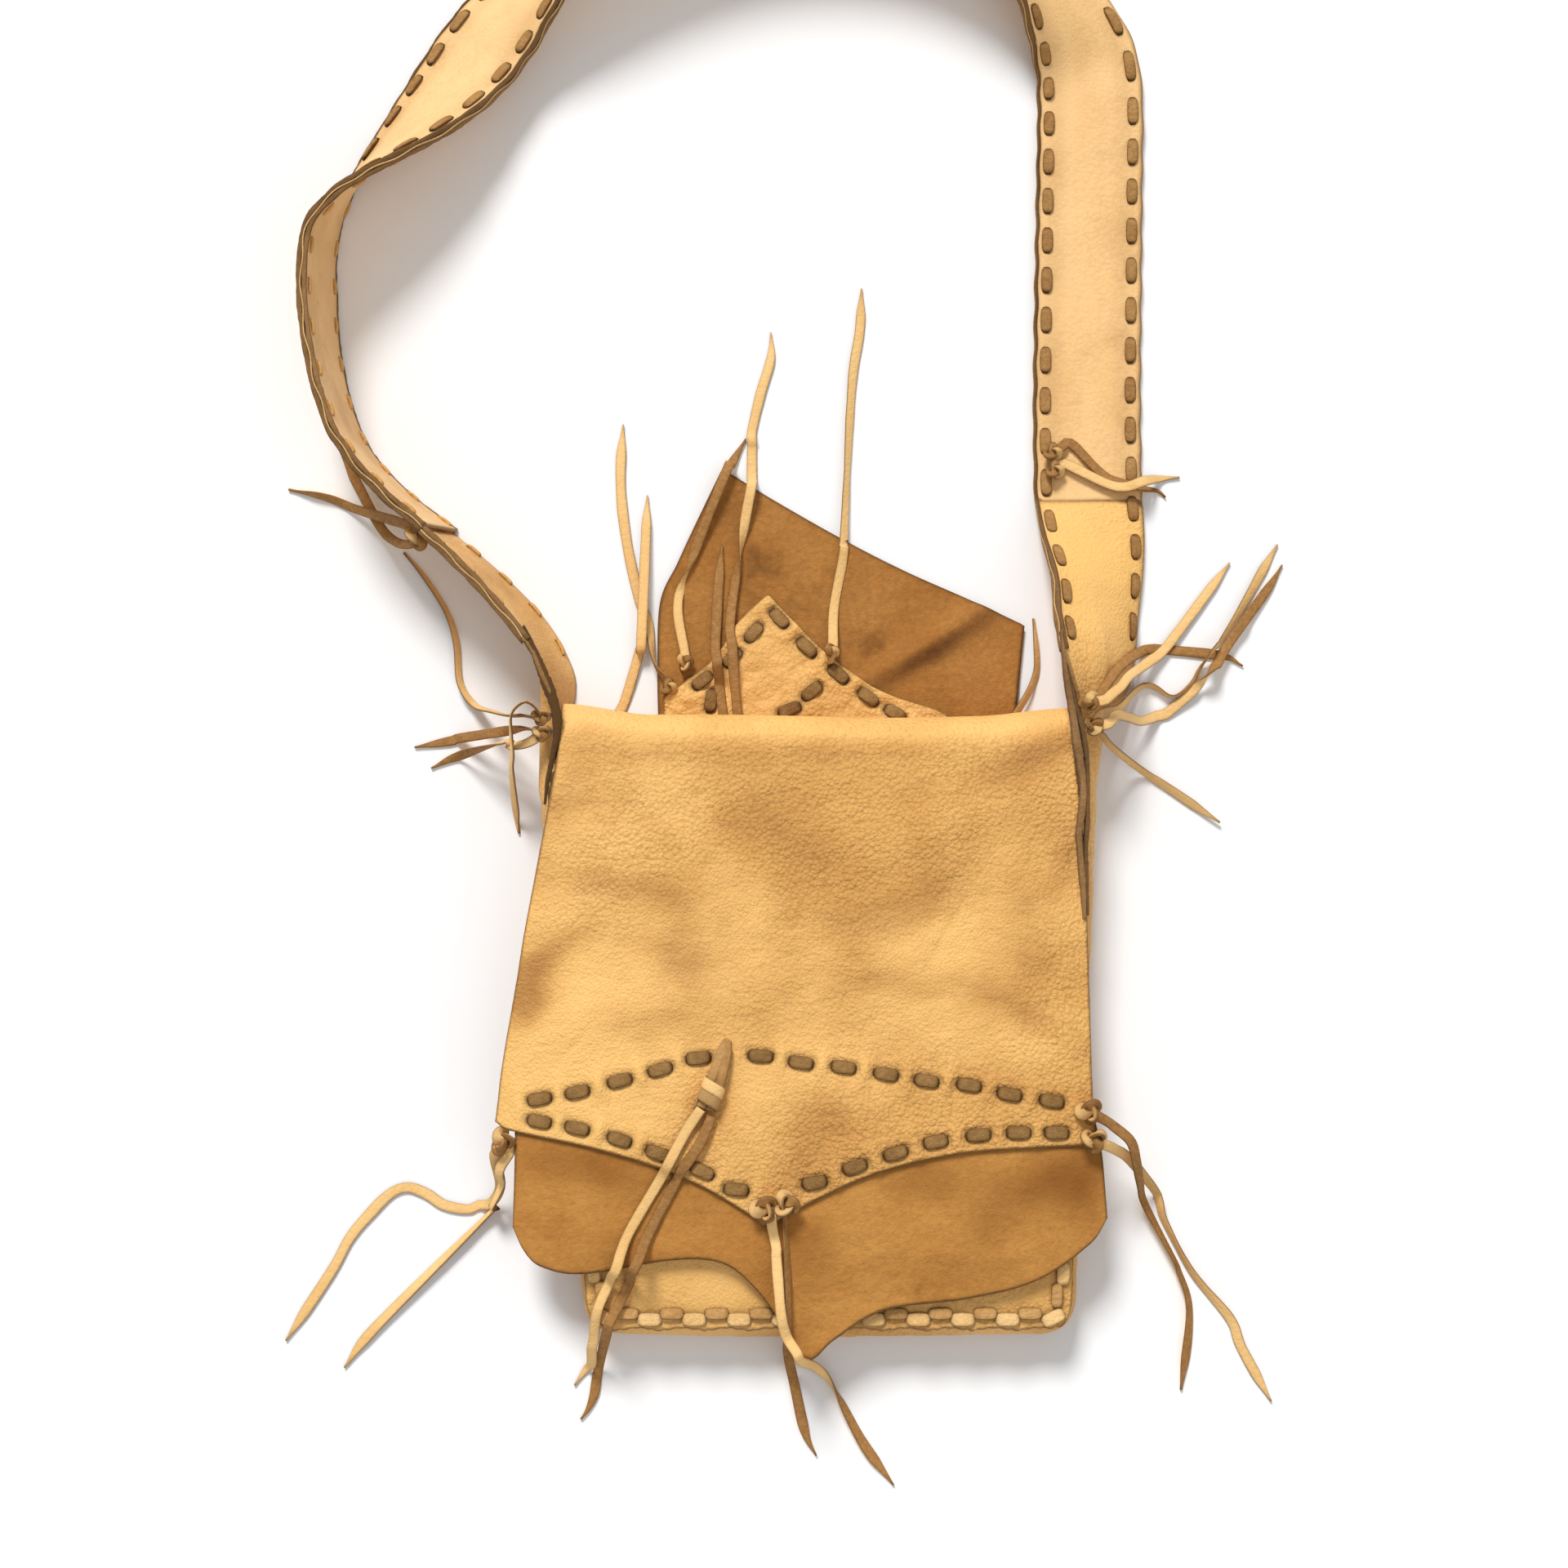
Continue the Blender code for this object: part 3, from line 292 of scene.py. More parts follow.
# Loose thongs: the body they ride on, which side shows at shares of their length, where 1 is
# grain, 0 suede and in between on edge, and their route from knot to tip in millimetres
TAILS = {
    "closure_tail_1": ("front_flap_body", [(0, 1)],
        [(-46.5, -40.5, 45), (-53, -50, 43), (-61, -65, 44.5), (-65, -72, 39), (-79, -96, 37),
        (-84, -111, 40), (-86, -114, 36), (-88, -118, 28), (-93, -130, 28.5), (-95, -143, 20.5),
        (-96, -147, 18), (-97, -155, 6.5), (-100, -158, 1), (-105, -165, 1)]),
    "closure_tail_2": ("front_flap_body", [(0, 0)],
        [(-41.8, -43.8, 43.8), (-46.5, -55, 44.2), (-51, -62, 43.6), (-56, -69, 41.5),
        (-58, -73, 39), (-70, -96, 37), (-73, -104, 41.1), (-76, -111, 43.6), (-78, -114, 35.6),
        (-79, -118, 28), (-86, -132, 29), (-88, -137, 29.5), (-94, -157, 2), (-96, -169, 1),
        (-99, -176, 1), (-102, -180, 1)]),
    "flap_tail_left_1": ("front_flap_body", [(0, 1)],
        [(-138.5, -59, 30.5), (-140, -62, 26), (-139, -75, 12), (-144, -83, 4), (-150, -84, 1),
        (-155, -86, 1), (-166, -84, 1), (-174, -79, 1), (-183, -76, 1), (-191, -79, 1),
        (-200, -88, 1), (-209, -99, 1), (-217, -114, 1), (-237, -145, 1)]),
    "flap_tail_left_2": ("front_flap_body", [(0, 1), (0.3, 0.6), (1, 1)],
        [(-132.5, -59, 30.5), (-137, -66, 28), (-138, -70, 25), (-138, -75, 17), (-143, -85, 11),
        (-146, -89, 3), (-196, -139, 1.5), (-210, -157, 1)]),
    "flap_tail_right_1": ("front_flap_body", [(0, 1), (0.5, 0.6), (1, 1)],
        [(131.5, -55.4, 39.6), (136, -57.2, 35.5), (139.8, -58.8, 31), (145, -61.5, 24),
        (153, -69, 14), (161, -78, 4), (163, -83, 1), (165, -91, 1), (177, -114, 1),
        (194, -135, 1), (199, -148, 1), (212, -172, 1)]),
    "flap_tail_right_2": ("front_flap_body", [(0, 0), (0.6, 0.35), (1, 0.1)],
        [(129.6, -43.4, 40.4), (134, -45.5, 37.6), (138.5, -48.5, 35.2), (146, -55, 33),
        (149, -64, 28), (152, -74, 18), (156, -84, 5), (169, -109, 3.5), (171, -114, 1),
        (175, -126, 1), (175, -140, 1), (171, -167, 1)]),
    "joint_tail_left_1": ("bag", [(0, 0.1), (0.7, 0.25), (1, 0.5)],
        [(-181.5, 225.2, 39), (-185, 228, 36), (-192, 232, 28), (-203, 238, 14.5),
        (-214, 243.5, 4.5), (-225, 248.5, 1), (-236, 251.5, 1), (-247, 254, 1)]),
    "joint_tail_left_2": ("bag", [(0, 0)],
        [(-180.5, 219.5, 36), (-184.5, 219.3, 33), (-190, 221.8, 26), (-197.5, 228.5, 16.5),
        (-205, 240, 8.5), (-211.5, 252, 4), (-217, 262, 1.8), (-222.5, 272, 1)]),
    "joint_tail_right_1": ("bag", [(0, 0), (1, 0.2)],
        [(123, 273, 7.5), (128, 275, 6), (144, 259, 6), (160, 254, 6), (165, 254, 1),
        (170, 253, 1), (173, 250, 1)]),
    "joint_tail_right_2": ("bag", [(0, 1)],
        [(124.5, 265, 7), (144, 255, 8), (153, 253, 9.5), (161, 255, 12.5), (170, 259, 2),
        (180, 260, 1)]),
    "left_tail_1": ("bag", [(0, 0.5), (0.4, 0.7), (1, 0.6)],
        [(-125, 136, 46), (-129, 137, 44), (-136, 139, 31), (-145, 143, 18), (-156, 149, 3),
        (-163, 160, 1), (-165, 179, 1), (-170, 194, 1), (-181, 211, 1), (-191, 223, 1)]),
    "left_tail_2": ("bag", [(0, 0.6), (0.4, 0)],
        [(-124.8, 131, 41.4), (-130, 132, 38.8), (-139, 132.5, 26.5), (-163, 133, 2.5),
        (-167, 132, 1), (-184, 129, 1)]),
    "left_tail_3": ("bag", [(0, 1), (0.5, 0.5), (1, 0)],
        [(-124.5, 126.2, 39), (-128.5, 125, 36.2), (-132, 124.6, 34.6), (-136, 125, 30.5),
        (-136, 127, 32.5), (-152, 126, 14.5), (-165, 124, 1), (-176, 119, 1)]),
    "left_tail_4": ("bag", [(0, 0.5), (1, 0.8)],
        [(-122.5, 140, 48.5), (-127, 142, 51.5), (-133, 137, 49), (-134, 128, 40.5),
        (-134, 120, 35), (-135, 113, 27), (-135, 94, 2.5), (-134, 88, 1)]),
    "rear_tail_1": ("rear_flap_body", [(0, 1), (0.25, 1), (0.45, 0)],
        [(-56.5, 173.5, 5.5), (-60, 196, 5), (-55, 215, 4.5), (-37, 261, 9), (-35, 266, 2),
        (-28, 279, 1)]),
    "rear_tail_2": ("rear_flap_body", [(0, 0)],
        [(-37.5, 138.5, 7), (-40, 157, 7), (-40, 160, 9), (-41, 165, 13), (-41, 168, 14.5),
        (-42, 177, 6), (-41, 202, 5), (-39, 226, 4.5)]),
    "rear_tail_3": ("rear_flap_body", [(0, 0), (0.35, 0.1), (0.5, 1)],
        [(-31, 138.5, 7), (-33, 160, 9.5), (-34, 176, 10.5), (-35, 190, 6), (-29, 232, 6),
        (-25, 254, 9.5), (-25, 259, 1.5), (-25, 274, 1), (-25, 278, 3), (-25, 283, 1),
        (-21, 301, 1), (-16, 319, 1), (-16, 332, 1)]),
    "rear_tail_4": ("rear_flap_body", [(0, 1), (0.5, 0.7), (1, 1)],
        [(13.5, 177, 7.5), (14, 195, 4.5), (18, 217, 5), (19, 226, 6.5), (19, 231, 4.5),
        (23, 304, 1.5), (27, 333, 1), (28, 354, 1)]),
    "rear_tail_5": ("rear_flap_body", [(0, 0.3), (0.3, 1)],
        [(-65.5, 160.5, 6), (-71, 169, 5.5), (-74, 188, 1.5), (-79, 202, 1), (-85, 230, 1),
        (-88, 258, 1), (-87, 286, 1)]),
    "rear_tail_6": ("rear_flap_body", [(0, 1)],
        [(-90, 142, 1), (-85, 151, 1), (-78, 175, 3), (-77, 179, 7.5), (-75, 251, 1)]),
    "rear_tail_7": ("rear_flap_body", [(0, 0.7)],
        [(96, 139, 4.7), (102, 148, 4.8), (107, 157, 3.6), (110, 166, 1), (110, 178, 1),
        (109, 191, 1)]),
    "right_tail_1": ("bag", [(0, 0.2), (0.4, 0)],
        [(133, 146, 45), (136, 149, 40), (147, 164, 21.5), (159, 174, 4.5), (164, 176, 1),
        (169, 176, 1), (198, 173, 1), (208, 168, 1)]),
    "right_tail_2": ("bag", [(0, 1)],
        [(136.2, 143.5, 47.6), (140, 147, 45.5), (144.5, 151, 41), (150, 158, 28), (159, 166, 10),
        (164, 170, 5.5), (168, 173, 3.5), (175, 181, 2.5), (203, 218, 1)]),
    "right_tail_3": ("bag", [(0, 1), (0.5, 0.4), (1, 1)],
        [(134, 137, 41.5), (138, 140, 32.5), (147, 145, 16.5), (158, 157, 1.5), (165, 158, 1),
        (174, 153, 1), (183, 159, 1), (187, 166, 1.6), (189, 169, 4.6), (194, 176, 8.1),
        (197, 179, 3.1), (208, 196, 1), (226, 227, 1)]),
    "right_tail_4": ("bag", [(0, 1), (0.5, 1), (0.62, 0)],
        [(138, 133.5, 42), (143, 138.5, 34.5), (150, 140, 22), (158, 140, 10.5), (167, 144, 1.5),
        (171, 145, 1), (181, 153, 3), (187, 159, 4.5), (192, 165, 9), (195, 168, 5.5),
        (197, 172, 5.5), (203, 181, 4), (208, 188, 4.5), (211, 192, 2.5), (222, 207, 1),
        (228, 217, 1)]),
    "right_tail_5": ("bag", [(0, 0.5), (1, 0.8)],
        [(135, 129.5, 40.6), (142.5, 125, 25), (161, 116, 3), (195, 93, 2.5)]),
    "tip_tail_1": ("front_flap_body", [(0, 1), (0.6, 1), (0.75, 0.3), (1, 0)],
        [(-15.5, -86, 40), (-15, -92, 39.5), (-14, -97, 36.5), (-13, -102, 38), (-13, -106, 38),
        (-11, -130, 39.4), (-9, -139, 36.4), (-7, -143, 35.4), (-4, -147, 39.9), (-2, -151, 36.2),
        (5, -156, 13), (13, -166, 2), (26, -190, 1.5), (40, -209, 1)]),
    "tip_tail_2": ("front_flap_body", [(0, 0.4), (0.5, 0.2), (1, 0)],
        [(-9, -86, 40), (-9, -92, 37), (-8, -107, 35.5), (-8, -138, 33), (-8, -149, 16),
        (-5, -164, 2), (0, -186, 1.5), (5, -196, 1)]),
}

# Knots: body, centre, then length, width and height, all in millimetres, and the turn in degrees
KNOTS = {
    "tip_knot": ("front_flap_body", (-18.2, -84.8, 42.2), (11, 10, 6), 20),
    "flap_knot_left": ("front_flap_body", (-135.5, -55, 32), (12, 9, 7), 80),
    "flap_knot_right_1": ("front_flap_body", (126.6, -41.8, 41), (11, 9, 7), 20),
    "flap_knot_right_2": ("front_flap_body", (128.4, -54, 40.5), (11, 9, 7), 0),
    "joint_knot_left": ("bag", (-178.6, 221.4, 39), (12, 8, 7), 130),
    "joint_knot_right_1": ("bag", (118.5, 270.4, 9), (8, 7, 5), 60),
    "joint_knot_right_2": ("bag", (119.6, 261.8, 8.2), (8, 7, 5), 60),
    "corner_knot_right_1": ("bag", (129.4, 142.6, 46.8), (9, 7, 6), 30),
    "corner_knot_right_2": ("bag", (131.7, 132.5, 42.6), (9, 7, 6), -10),
    "corner_knot_left_1": ("bag", (-120.2, 136.4, 43.6), (8, 6, 5), 0),
    "corner_knot_left_2": ("bag", (-120, 129.4, 41.2), (8, 6, 5), 0),
    "rear_knot_1": ("rear_flap_body", (-56.3, 168.4, 6.4), (9, 6, 5), 100),
    "rear_knot_2": ("rear_flap_body", (-64, 156.9, 7.7), (8, 6, 5), 60),
    "rear_knot_3": ("rear_flap_body", (13, 172.3, 9.8), (9, 6, 5), 90),
}

# A thong that starts within this many millimetres of a knot's centre comes out of the knot
KNOT_REACH = 9

# One stitch: places along it in half stitches, depth as a share of the way through the leather,
# height in millimetres above it, width as a share, how much painted shade it takes where it
# dives into the leather, and 1 on its far side. Its second half mirrors the first
STITCH = [(-1.20, -1.0, 0.0, 0.45, 0.2, 1), (-1.08, -0.6, 0.0, 0.44, 1.0, 0),
          (-0.99, 0.0, -0.1, 0.54, 1.0, 0), (-0.88, 0.0, 0.30, 0.80, 0.35, 0),
          (-0.66, 0.0, 0.60, 0.95, 0.0, 0), (-0.30, 0.0, 0.74, 1.00, 0.0, 0),
          (0.0, 0.0, 0.78, 1.02, 0.0, 0)]
STITCH += [(-run, *rest) for run, *rest in STITCH[-2::-1]]

# Hills, hollows, stains and painted shade and light as centre, half width, half length, turn in
# degrees and height, and creases from end to end, in millimetres
FLAP_DENTS = [(-122, 40, 26, 15, 15, 2.2), (-98, 82, 42, 13, -8, 1.6), (-42, 58, 46, 24, 10, 1.3),
              (26, 82, 60, 22, 4, 1.5), (92, 98, 40, 12, 20, 1.8), (106, 44, 22, 24, 10, 1.8),
              (72, 6, 40, 18, -25, 1.5), (-62, 6, 44, 14, 8, 1.6), (6, 24, 42, 20, 0, 1.2),
              (116, -8, 20, 13, 30, 1.7), (-112, -6, 22, 12, 12, 1.4), (24, -44, 12, 26, 30, 1.2),
              (-24, -46, 12, 24, -35, 1.1), (-2, 108, 90, 9, 0, 0.9)]
# Of the flap's rows, those at (-126, 20), (-124, 6) and (-111, 96) are painted shade on dents, and the two negative
# rows along the fold's top, at y 135 and 146, pale it: wear, and a painted highlight where the fold turns to the light
FLAP_STAINS_AND_PAINTED_LIGHT = [(109, 119, 34, 8, 20, 0.75), (-111, 96, 26, 9, 8, 0.55), (-28, 90, 26, 11, 20, 0.5),
               (-2, 78, 26, 12, -25, 0.65), (-87, 60, 34, 9, -10, 0.65), (119, 74, 10, 22, -10, 0.60),
               (-56, 34, 16, 24, 10, 0.55), (24, 46, 50, 12, 12, 0.50), (-126, 20, 30, 8, 38, 1.0),
               (46, 15, 44, 9, -8, 0.50), (-72, -2, 26, 8, 4, 0.45), (107, -4, 34, 7, -28, 0.60),
               (12, -46, 22, 14, 0, 0.50), (-6, -70, 16, 18, 0, 0.60), (-44, -38, 12, 20, -20, 0.50),
               (60, 62, 16, 50, -35, 0.35), (92, 24, 22, 14, 0, 0.35), (-30, 8, 40, 18, 0, 0.30),
               (-60, 118, 60, 6, 3, 0.25), (30, 122, 50, 5, 0, 0.20), (80, -28, 30, 8, -10, 0.30),
               (0, 135, 160, 7, 0, -0.90), (0, 146, 160, 7, 0, -0.70), (-100, -14, 22, 9, 0, -0.60),
               (99, 48, 16, 15, 0, 0.50), (-124, 6, 12, 9, 40, 0.9), (104, -12, 18, 10, 0, -0.35)]
FLAP_CREASES = [(80, 66, 52, 18), (-52, 116, 10, 104), (104, 108, 92, 92), (-96, -4, -112, -22)]
APRON_STAINS = [(108, -72, 28, 13, 20, 1.0), (84, -92, 14, 10, 0, 0.45), (124, -84, 10, 14, 0, 0.40),
                (52, -74, 16, 10, 10, 0.35), (30, -118, 26, 12, 30, -0.35), (-96, -66, 26, 10, -12, 0.50),
                (-60, -84, 24, 9, -20, 0.40), (-112, -96, 14, 9, 0, 0.25), (6, -98, 9, 20, 0, 0.30)]
PANEL_DENTS = [(-80, -122, 7, 24, 65, -1.2), (-60, -118, 16, 30, 70, 0.6)]
REAR_FOLD_SHADES = [(62, 175, 34, 5, 33, 0.95), (58, 183, 34, 5, 33, -0.5)]

# Raw edges where the band meets the pouch beside the flap: points in millimetres with the
# strip's width as the fourth number
RAW_EDGES = [[(116.8, 176, 44.5, 0.8), (117.7, 165, 46.2, 1.6), (118.9, 154, 45.8, 2.4),
              (120.6, 143.6, 45, 3.0), (122, 135.4, 44.4, 3.6), (123.2, 126, 43.8, 4),
              (124.6, 117, 43.3, 3.6), (126, 105.6, 42.6, 3), (125.5, 94.5, 42, 3.2),
              (123.9, 83.4, 41.4, 3), (124.5, 72.3, 40.6, 2.8), (125.5, 59.4, 39.6, 2.6),
              (126, 44.6, 38, 2)],
             [(119.1, 163.4, 45.8, 0.6), (121, 152.2, 45, 1.6), (123, 142, 44.2, 2),
              (125.7, 132.5, 43.4, 2.4), (127.4, 122.4, 42.7, 2.4), (128.1, 111.2, 42, 2),
              (128, 100, 41.4, 2), (127.9, 89, 40.7, 2.2), (127.1, 78, 40, 2), (127, 68.7, 39.4, 2),
              (127.3, 59.4, 38.4, 1.8), (127.5, 46.5, 36.8, 1.4)],
             [(-128.5, 178, 46.6, 0.8), (-125, 170, 46, 2.6), (-121.4, 161, 45.2, 4.2),
              (-118, 152.4, 44.4, 5), (-114.8, 143.9, 43.6, 5), (-113, 135.7, 42.8, 4.4),
              (-113.2, 128.3, 41.8, 3.4), (-114.6, 121, 40.8, 2.8), (-116.1, 113.6, 39.6, 2.2),
              (-117.6, 106.2, 38.4, 1.8), (-118.6, 97, 37, 1.2)]]


def table(pairs):
    """A function that reads a table of straight stretches, level past its ends."""
    places, values = zip(*pairs)
    return lambda v: np.interp(v, places, values)


ACROSS, ALONG, FADE = table(SINK_ACROSS), table(SINK_ALONG), table(SINK_FADE)


def sink(x, y):
    """How far the full height of the pouch drops at x, y."""
    return ACROSS(x) * FADE(y) + ALONG(y)


def settled(points):
    """Points of the pouch moved down with the sunken front, while what lies low stays put."""
    share = np.clip((points[..., 2] - FIRM_Z) / (FRONT_FLANGE_Z - LEATHER - FIRM_Z), 0, 1)
    moved = points.copy()
    moved[..., 2] += share * sink(points[..., 0], points[..., 1])
    return moved


def step(low, high, value):
    """Rises smoothly from 0 at low to 1 at high."""
    share = np.clip((value - low) / (high - low), 0, 1)
    return share * share * (3 - 2 * share)


def hill(a, wide, b=0.0, long=1.0):
    """A smooth hill of height 1 where a and b are 0: e to the power of minus the squares of
    a over its half width and b over its half length.
    """
    return np.exp(-((a / wide) ** 2 + (b / long) ** 2))


def bump_at(x, y, cx, cy, wide, long, turn=0.0):
    """A hill of height 1 at (cx, cy), in millimetres, turned by degrees."""
    a, b = x / MM - cx, y / MM - cy
    c, s = math.cos(math.radians(turn)), math.sin(math.radians(turn))
    return hill(a * c + b * s, wide, b * c - a * s, long)


def hills(x, y, rows):
    """The hills of a table added up."""
    return sum(bump_at(x, y, *row) * height for *row, height in rows)


def ripple(x, y, size, seed):
    """Gentle unevenness between about -1 and 1: sine waves crossed at seeded angles, each
    octave 1.8 times finer and half as high as the one before.
    """
    draw = np.random.default_rng(seed)
    total = 0.0
    for octave in range(4):
        for _ in range(3):
            angle, phase = draw.uniform(0, 2 * math.pi, 2)
            run = (x * math.cos(angle) + y * math.sin(angle)) * 1.8**octave / size
            total = total + np.sin(2 * math.pi * run + phase) / 2**octave
    return total / 3.5


def curve(points, per=8):
    """A smooth line through the points, with per steps between neighbours: each step is the
    cubic whose slope at a point is half the way between its two neighbours.
    """
    p = np.asarray(points, float)
    p = np.concatenate([[2 * p[0] - p[1]], p, [2 * p[-1] - p[-2]]])
    t = (np.arange(per) / per).reshape(-1, *[1] * (p.ndim - 1))
    found = []
    for a, b, c, d in zip(p, p[1:], p[2:], p[3:]):
        found.append(0.5 * (2 * b + (c - a) * t + (2 * a - 5 * b + 4 * c - d) * t**2
                            + (3 * b - a - 3 * c + d) * t**3))
    return np.concatenate([*found, p[-2:-1]])


def reach(points):
    """How far each point lies along its line."""
    steps = np.linalg.norm(np.diff(points, axis=0), axis=1)
    return np.concatenate([[0.0], np.cumsum(steps)])


def at(goals, far, points):
    """The places at the goals along a line whose points lie far along it."""
    return np.stack([np.interp(goals, far, column) for column in points.T], axis=-1)


def evenly(points, count):
    """Points evenly spaced along a line."""
    far = reach(points)
    return at(np.linspace(0, 1, count) * far[-1], far, points)


def unit(vectors):
    """The vectors at length 1."""
    return vectors / np.maximum(np.linalg.norm(vectors, axis=-1, keepdims=True), 1e-12)


def normals(grid):
    """The unit normals of a grid of points, from its slopes both ways."""
    return unit(np.cross(np.gradient(grid, axis=0), np.gradient(grid, axis=1)))


def patch(near, far, left, right):
    """Flat points between four edge lines, near and far running left to right, left and right
    running near to far: the blend of the two lines one way plus the blend of the two the
    other way, less the blend of the corners.
    """
    u = np.linspace(0, 1, len(near))[:, None, None]
    v = np.linspace(0, 1, len(left))[None, :, None]
    lines = (1 - v) * near[:, None] + v * far[:, None] + (1 - u) * left[None] + u * right[None]
    corners = (1 - u) * ((1 - v) * near[0] + v * far[0]) + u * ((1 - v) * near[-1] + v * far[-1])
    return lines - corners


def edge_distance(grid):
    """How far each point of a grid is from the grid's nearest edge, along its lines."""
    found = []
    for axis in (0, 1):
        steps = np.linalg.norm(np.diff(grid, axis=axis), axis=2)
        far = np.concatenate([np.zeros_like(np.take(steps, [0], axis)), np.cumsum(steps, axis)], axis)
        found += [far, np.take(far, [-1], axis) - far]
    return np.minimum.reduce(found)


def build(name, body, parts, finish, instead, slot, bend=None):
    """A smooth mesh piece of the object from its points, its faces and the named values kept
    at its points, which rides on a body and stands for the given nodes. With two points to
    bend between, it hangs on the bag before the first of them.
    """
    points, faces, values = parts
    points[:, 2] = np.maximum(points[:, 2], 0.05 * MM)
    mesh = bpy.data.meshes.new(name)
    mesh.from_pydata(points.tolist(), [], faces)
    mesh.polygons.foreach_set("use_smooth", np.ones(len(mesh.polygons), bool))
    for label, value in values.items():
        made = mesh.attributes.new(label, "FLOAT", "POINT")
        made.data.foreach_set("value", np.ascontiguousarray(value, np.float32).ravel())
    mesh.materials.append(finish)
    piece = bpy.data.objects.new(name, mesh)
    bpy.context.scene.collection.objects.link(piece)
    if bend:
        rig.blend(piece, "bag", body, *bend)
    else:
        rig.ride(piece, body)
    if instead:
        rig.replaces(piece, *instead)
    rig.slot(piece, slot)
    return piece


def quads(rows, columns, start=0, around=False):
    """The faces between neighbouring rows of a numbered grid, round and round if asked."""
    index = start + np.arange(rows * columns).reshape(rows, columns)
    if around:
        index = np.concatenate([index, index[:, :1]], axis=1)
    faces = np.stack([index[:-1, :-1], index[1:, :-1], index[1:, 1:], index[:-1, 1:]], axis=-1)
    return faces.reshape(-1, 4).tolist()


def hide(grid, thick=LEATHER, **values):
    """A piece of leather as points, faces and values. Its upper face is the grid, its under
    face the grid moved back along its normals, and a rounded edge joins the two.
    """
    rows, columns = grid.shape[:2]
    back = normals(grid) * thick
    ring = [(i, 0) for i in range(rows)] + [(rows - 1, j) for j in range(1, columns)]
    ring += [(i, columns - 1) for i in range(rows - 2, -1, -1)]
    ring += [(0, j) for j in range(columns - 2, 0, -1)]
    at = tuple(np.array(ring).T)
    inner = tuple(np.clip(np.array(ring), 1, [rows - 2, columns - 2]).T)
    outward = unit(grid[at] - grid[inner])
    middle = grid[at] - back[at] / 2 + outward * thick * 0.35
    total = rows * columns
    points = np.concatenate([grid.reshape(-1, 3), (grid - back).reshape(-1, 3), middle])
    index = np.arange(total).reshape(rows, columns)
    top = index[at]
    faces = quads(rows, columns)
    faces += [face[::-1] for face in quads(rows, columns, total)]
    count = len(ring)
    for k in range(count):
        n = (k + 1) % count
        a, b = 2 * total + k, 2 * total + n
        faces.append((int(top[k]), a, b, int(top[n])))
        faces.append((a, int(top[k]) + total, int(top[n]) + total, b))
    near = np.exp(-edge_distance(grid) / (0.9 * MM))
    kept = {"rim": np.concatenate([near.ravel(), near.ravel(), np.ones(count)]),
            "side": np.concatenate([np.ones(total), np.zeros(total), np.full(count, 0.5)])}
    for label, value in values.items():
        value = np.broadcast_to(value, (rows, columns))
        kept[label] = np.concatenate([value.ravel(), value.ravel(), value[at]])
    return points, faces, kept


def turned_over(parts):
    """The same piece of leather with its grain on the under face."""
    parts[2]["side"] = 1 - parts[2]["side"]
    return parts


def joined(parts):
    """Several sets of points, faces and values as one."""
    labels = sorted(set.intersection(*[set(values) for _, _, values in parts]))
    points, faces, start = [], [], 0
    for part_points, part_faces, _ in parts:
        points.append(part_points)
        faces += [[i + start for i in face] for face in part_faces]
        start += len(part_points)
    kept = {label: np.concatenate([values[label] for _, _, values in parts]) for label in labels}
    return np.concatenate(points), faces, kept


def ribbon(line, side, width, thick, closed=False, **values):
    """A flat strip as points, faces and values: an oval with flattened sides, carried along
    the line with its width on the side vectors.
    """
    rows, around = len(line), 12
    along = np.roll(line, -1, 0) - np.roll(line, 1, 0) if closed else np.gradient(line, axis=0)
    along = unit(along)
    side = unit(side - along * np.sum(side * along, axis=1, keepdims=True))
    facing = np.cross(along, side)
    turn = 2 * math.pi * (np.arange(around) + 0.5) / around
    a = np.sign(np.cos(turn)) * np.abs(np.cos(turn)) ** 0.55
    b = np.sign(np.sin(turn)) * np.abs(np.sin(turn)) ** 0.6
    width = np.broadcast_to(width, rows)[:, None, None] / 2
    thick = np.broadcast_to(thick, rows)[:, None, None] / 2
    grid = line[:, None] + side[:, None] * a[:, None] * width + facing[:, None] * b[:, None] * thick
    points = grid.reshape(-1, 3)
    faces = [face[::-1] for face in quads(rows, around, around=True)]
    if closed:
        last = (rows - 1) * around
        for k in range(around):
            n = (k + 1) % around
            faces.append((last + n, n, k, last + k))
    else:
        faces.append(tuple(range(around - 1, -1, -1)))
        faces.append(tuple(range((rows - 1) * around, rows * around)))
    ones = np.ones((rows, 1))
    kept = {"rim": (ones * np.abs(np.cos(turn)) ** 5).ravel(),
            "side": (ones * step(-0.35, 0.35, np.sin(turn))).ravel()}
    for label, value in values.items():
        kept[label] = np.repeat(np.broadcast_to(value, rows), around)
    return points, faces, kept


def rgb(red, green, blue):
    """A colour as a shader takes it, from the 0 to 255 values of a screen."""
    return tuple((v / 255 / 12.92 if v < 11 else ((v / 255 + 0.055) / 1.055) ** 2.4)
                 for v in (red, green, blue))


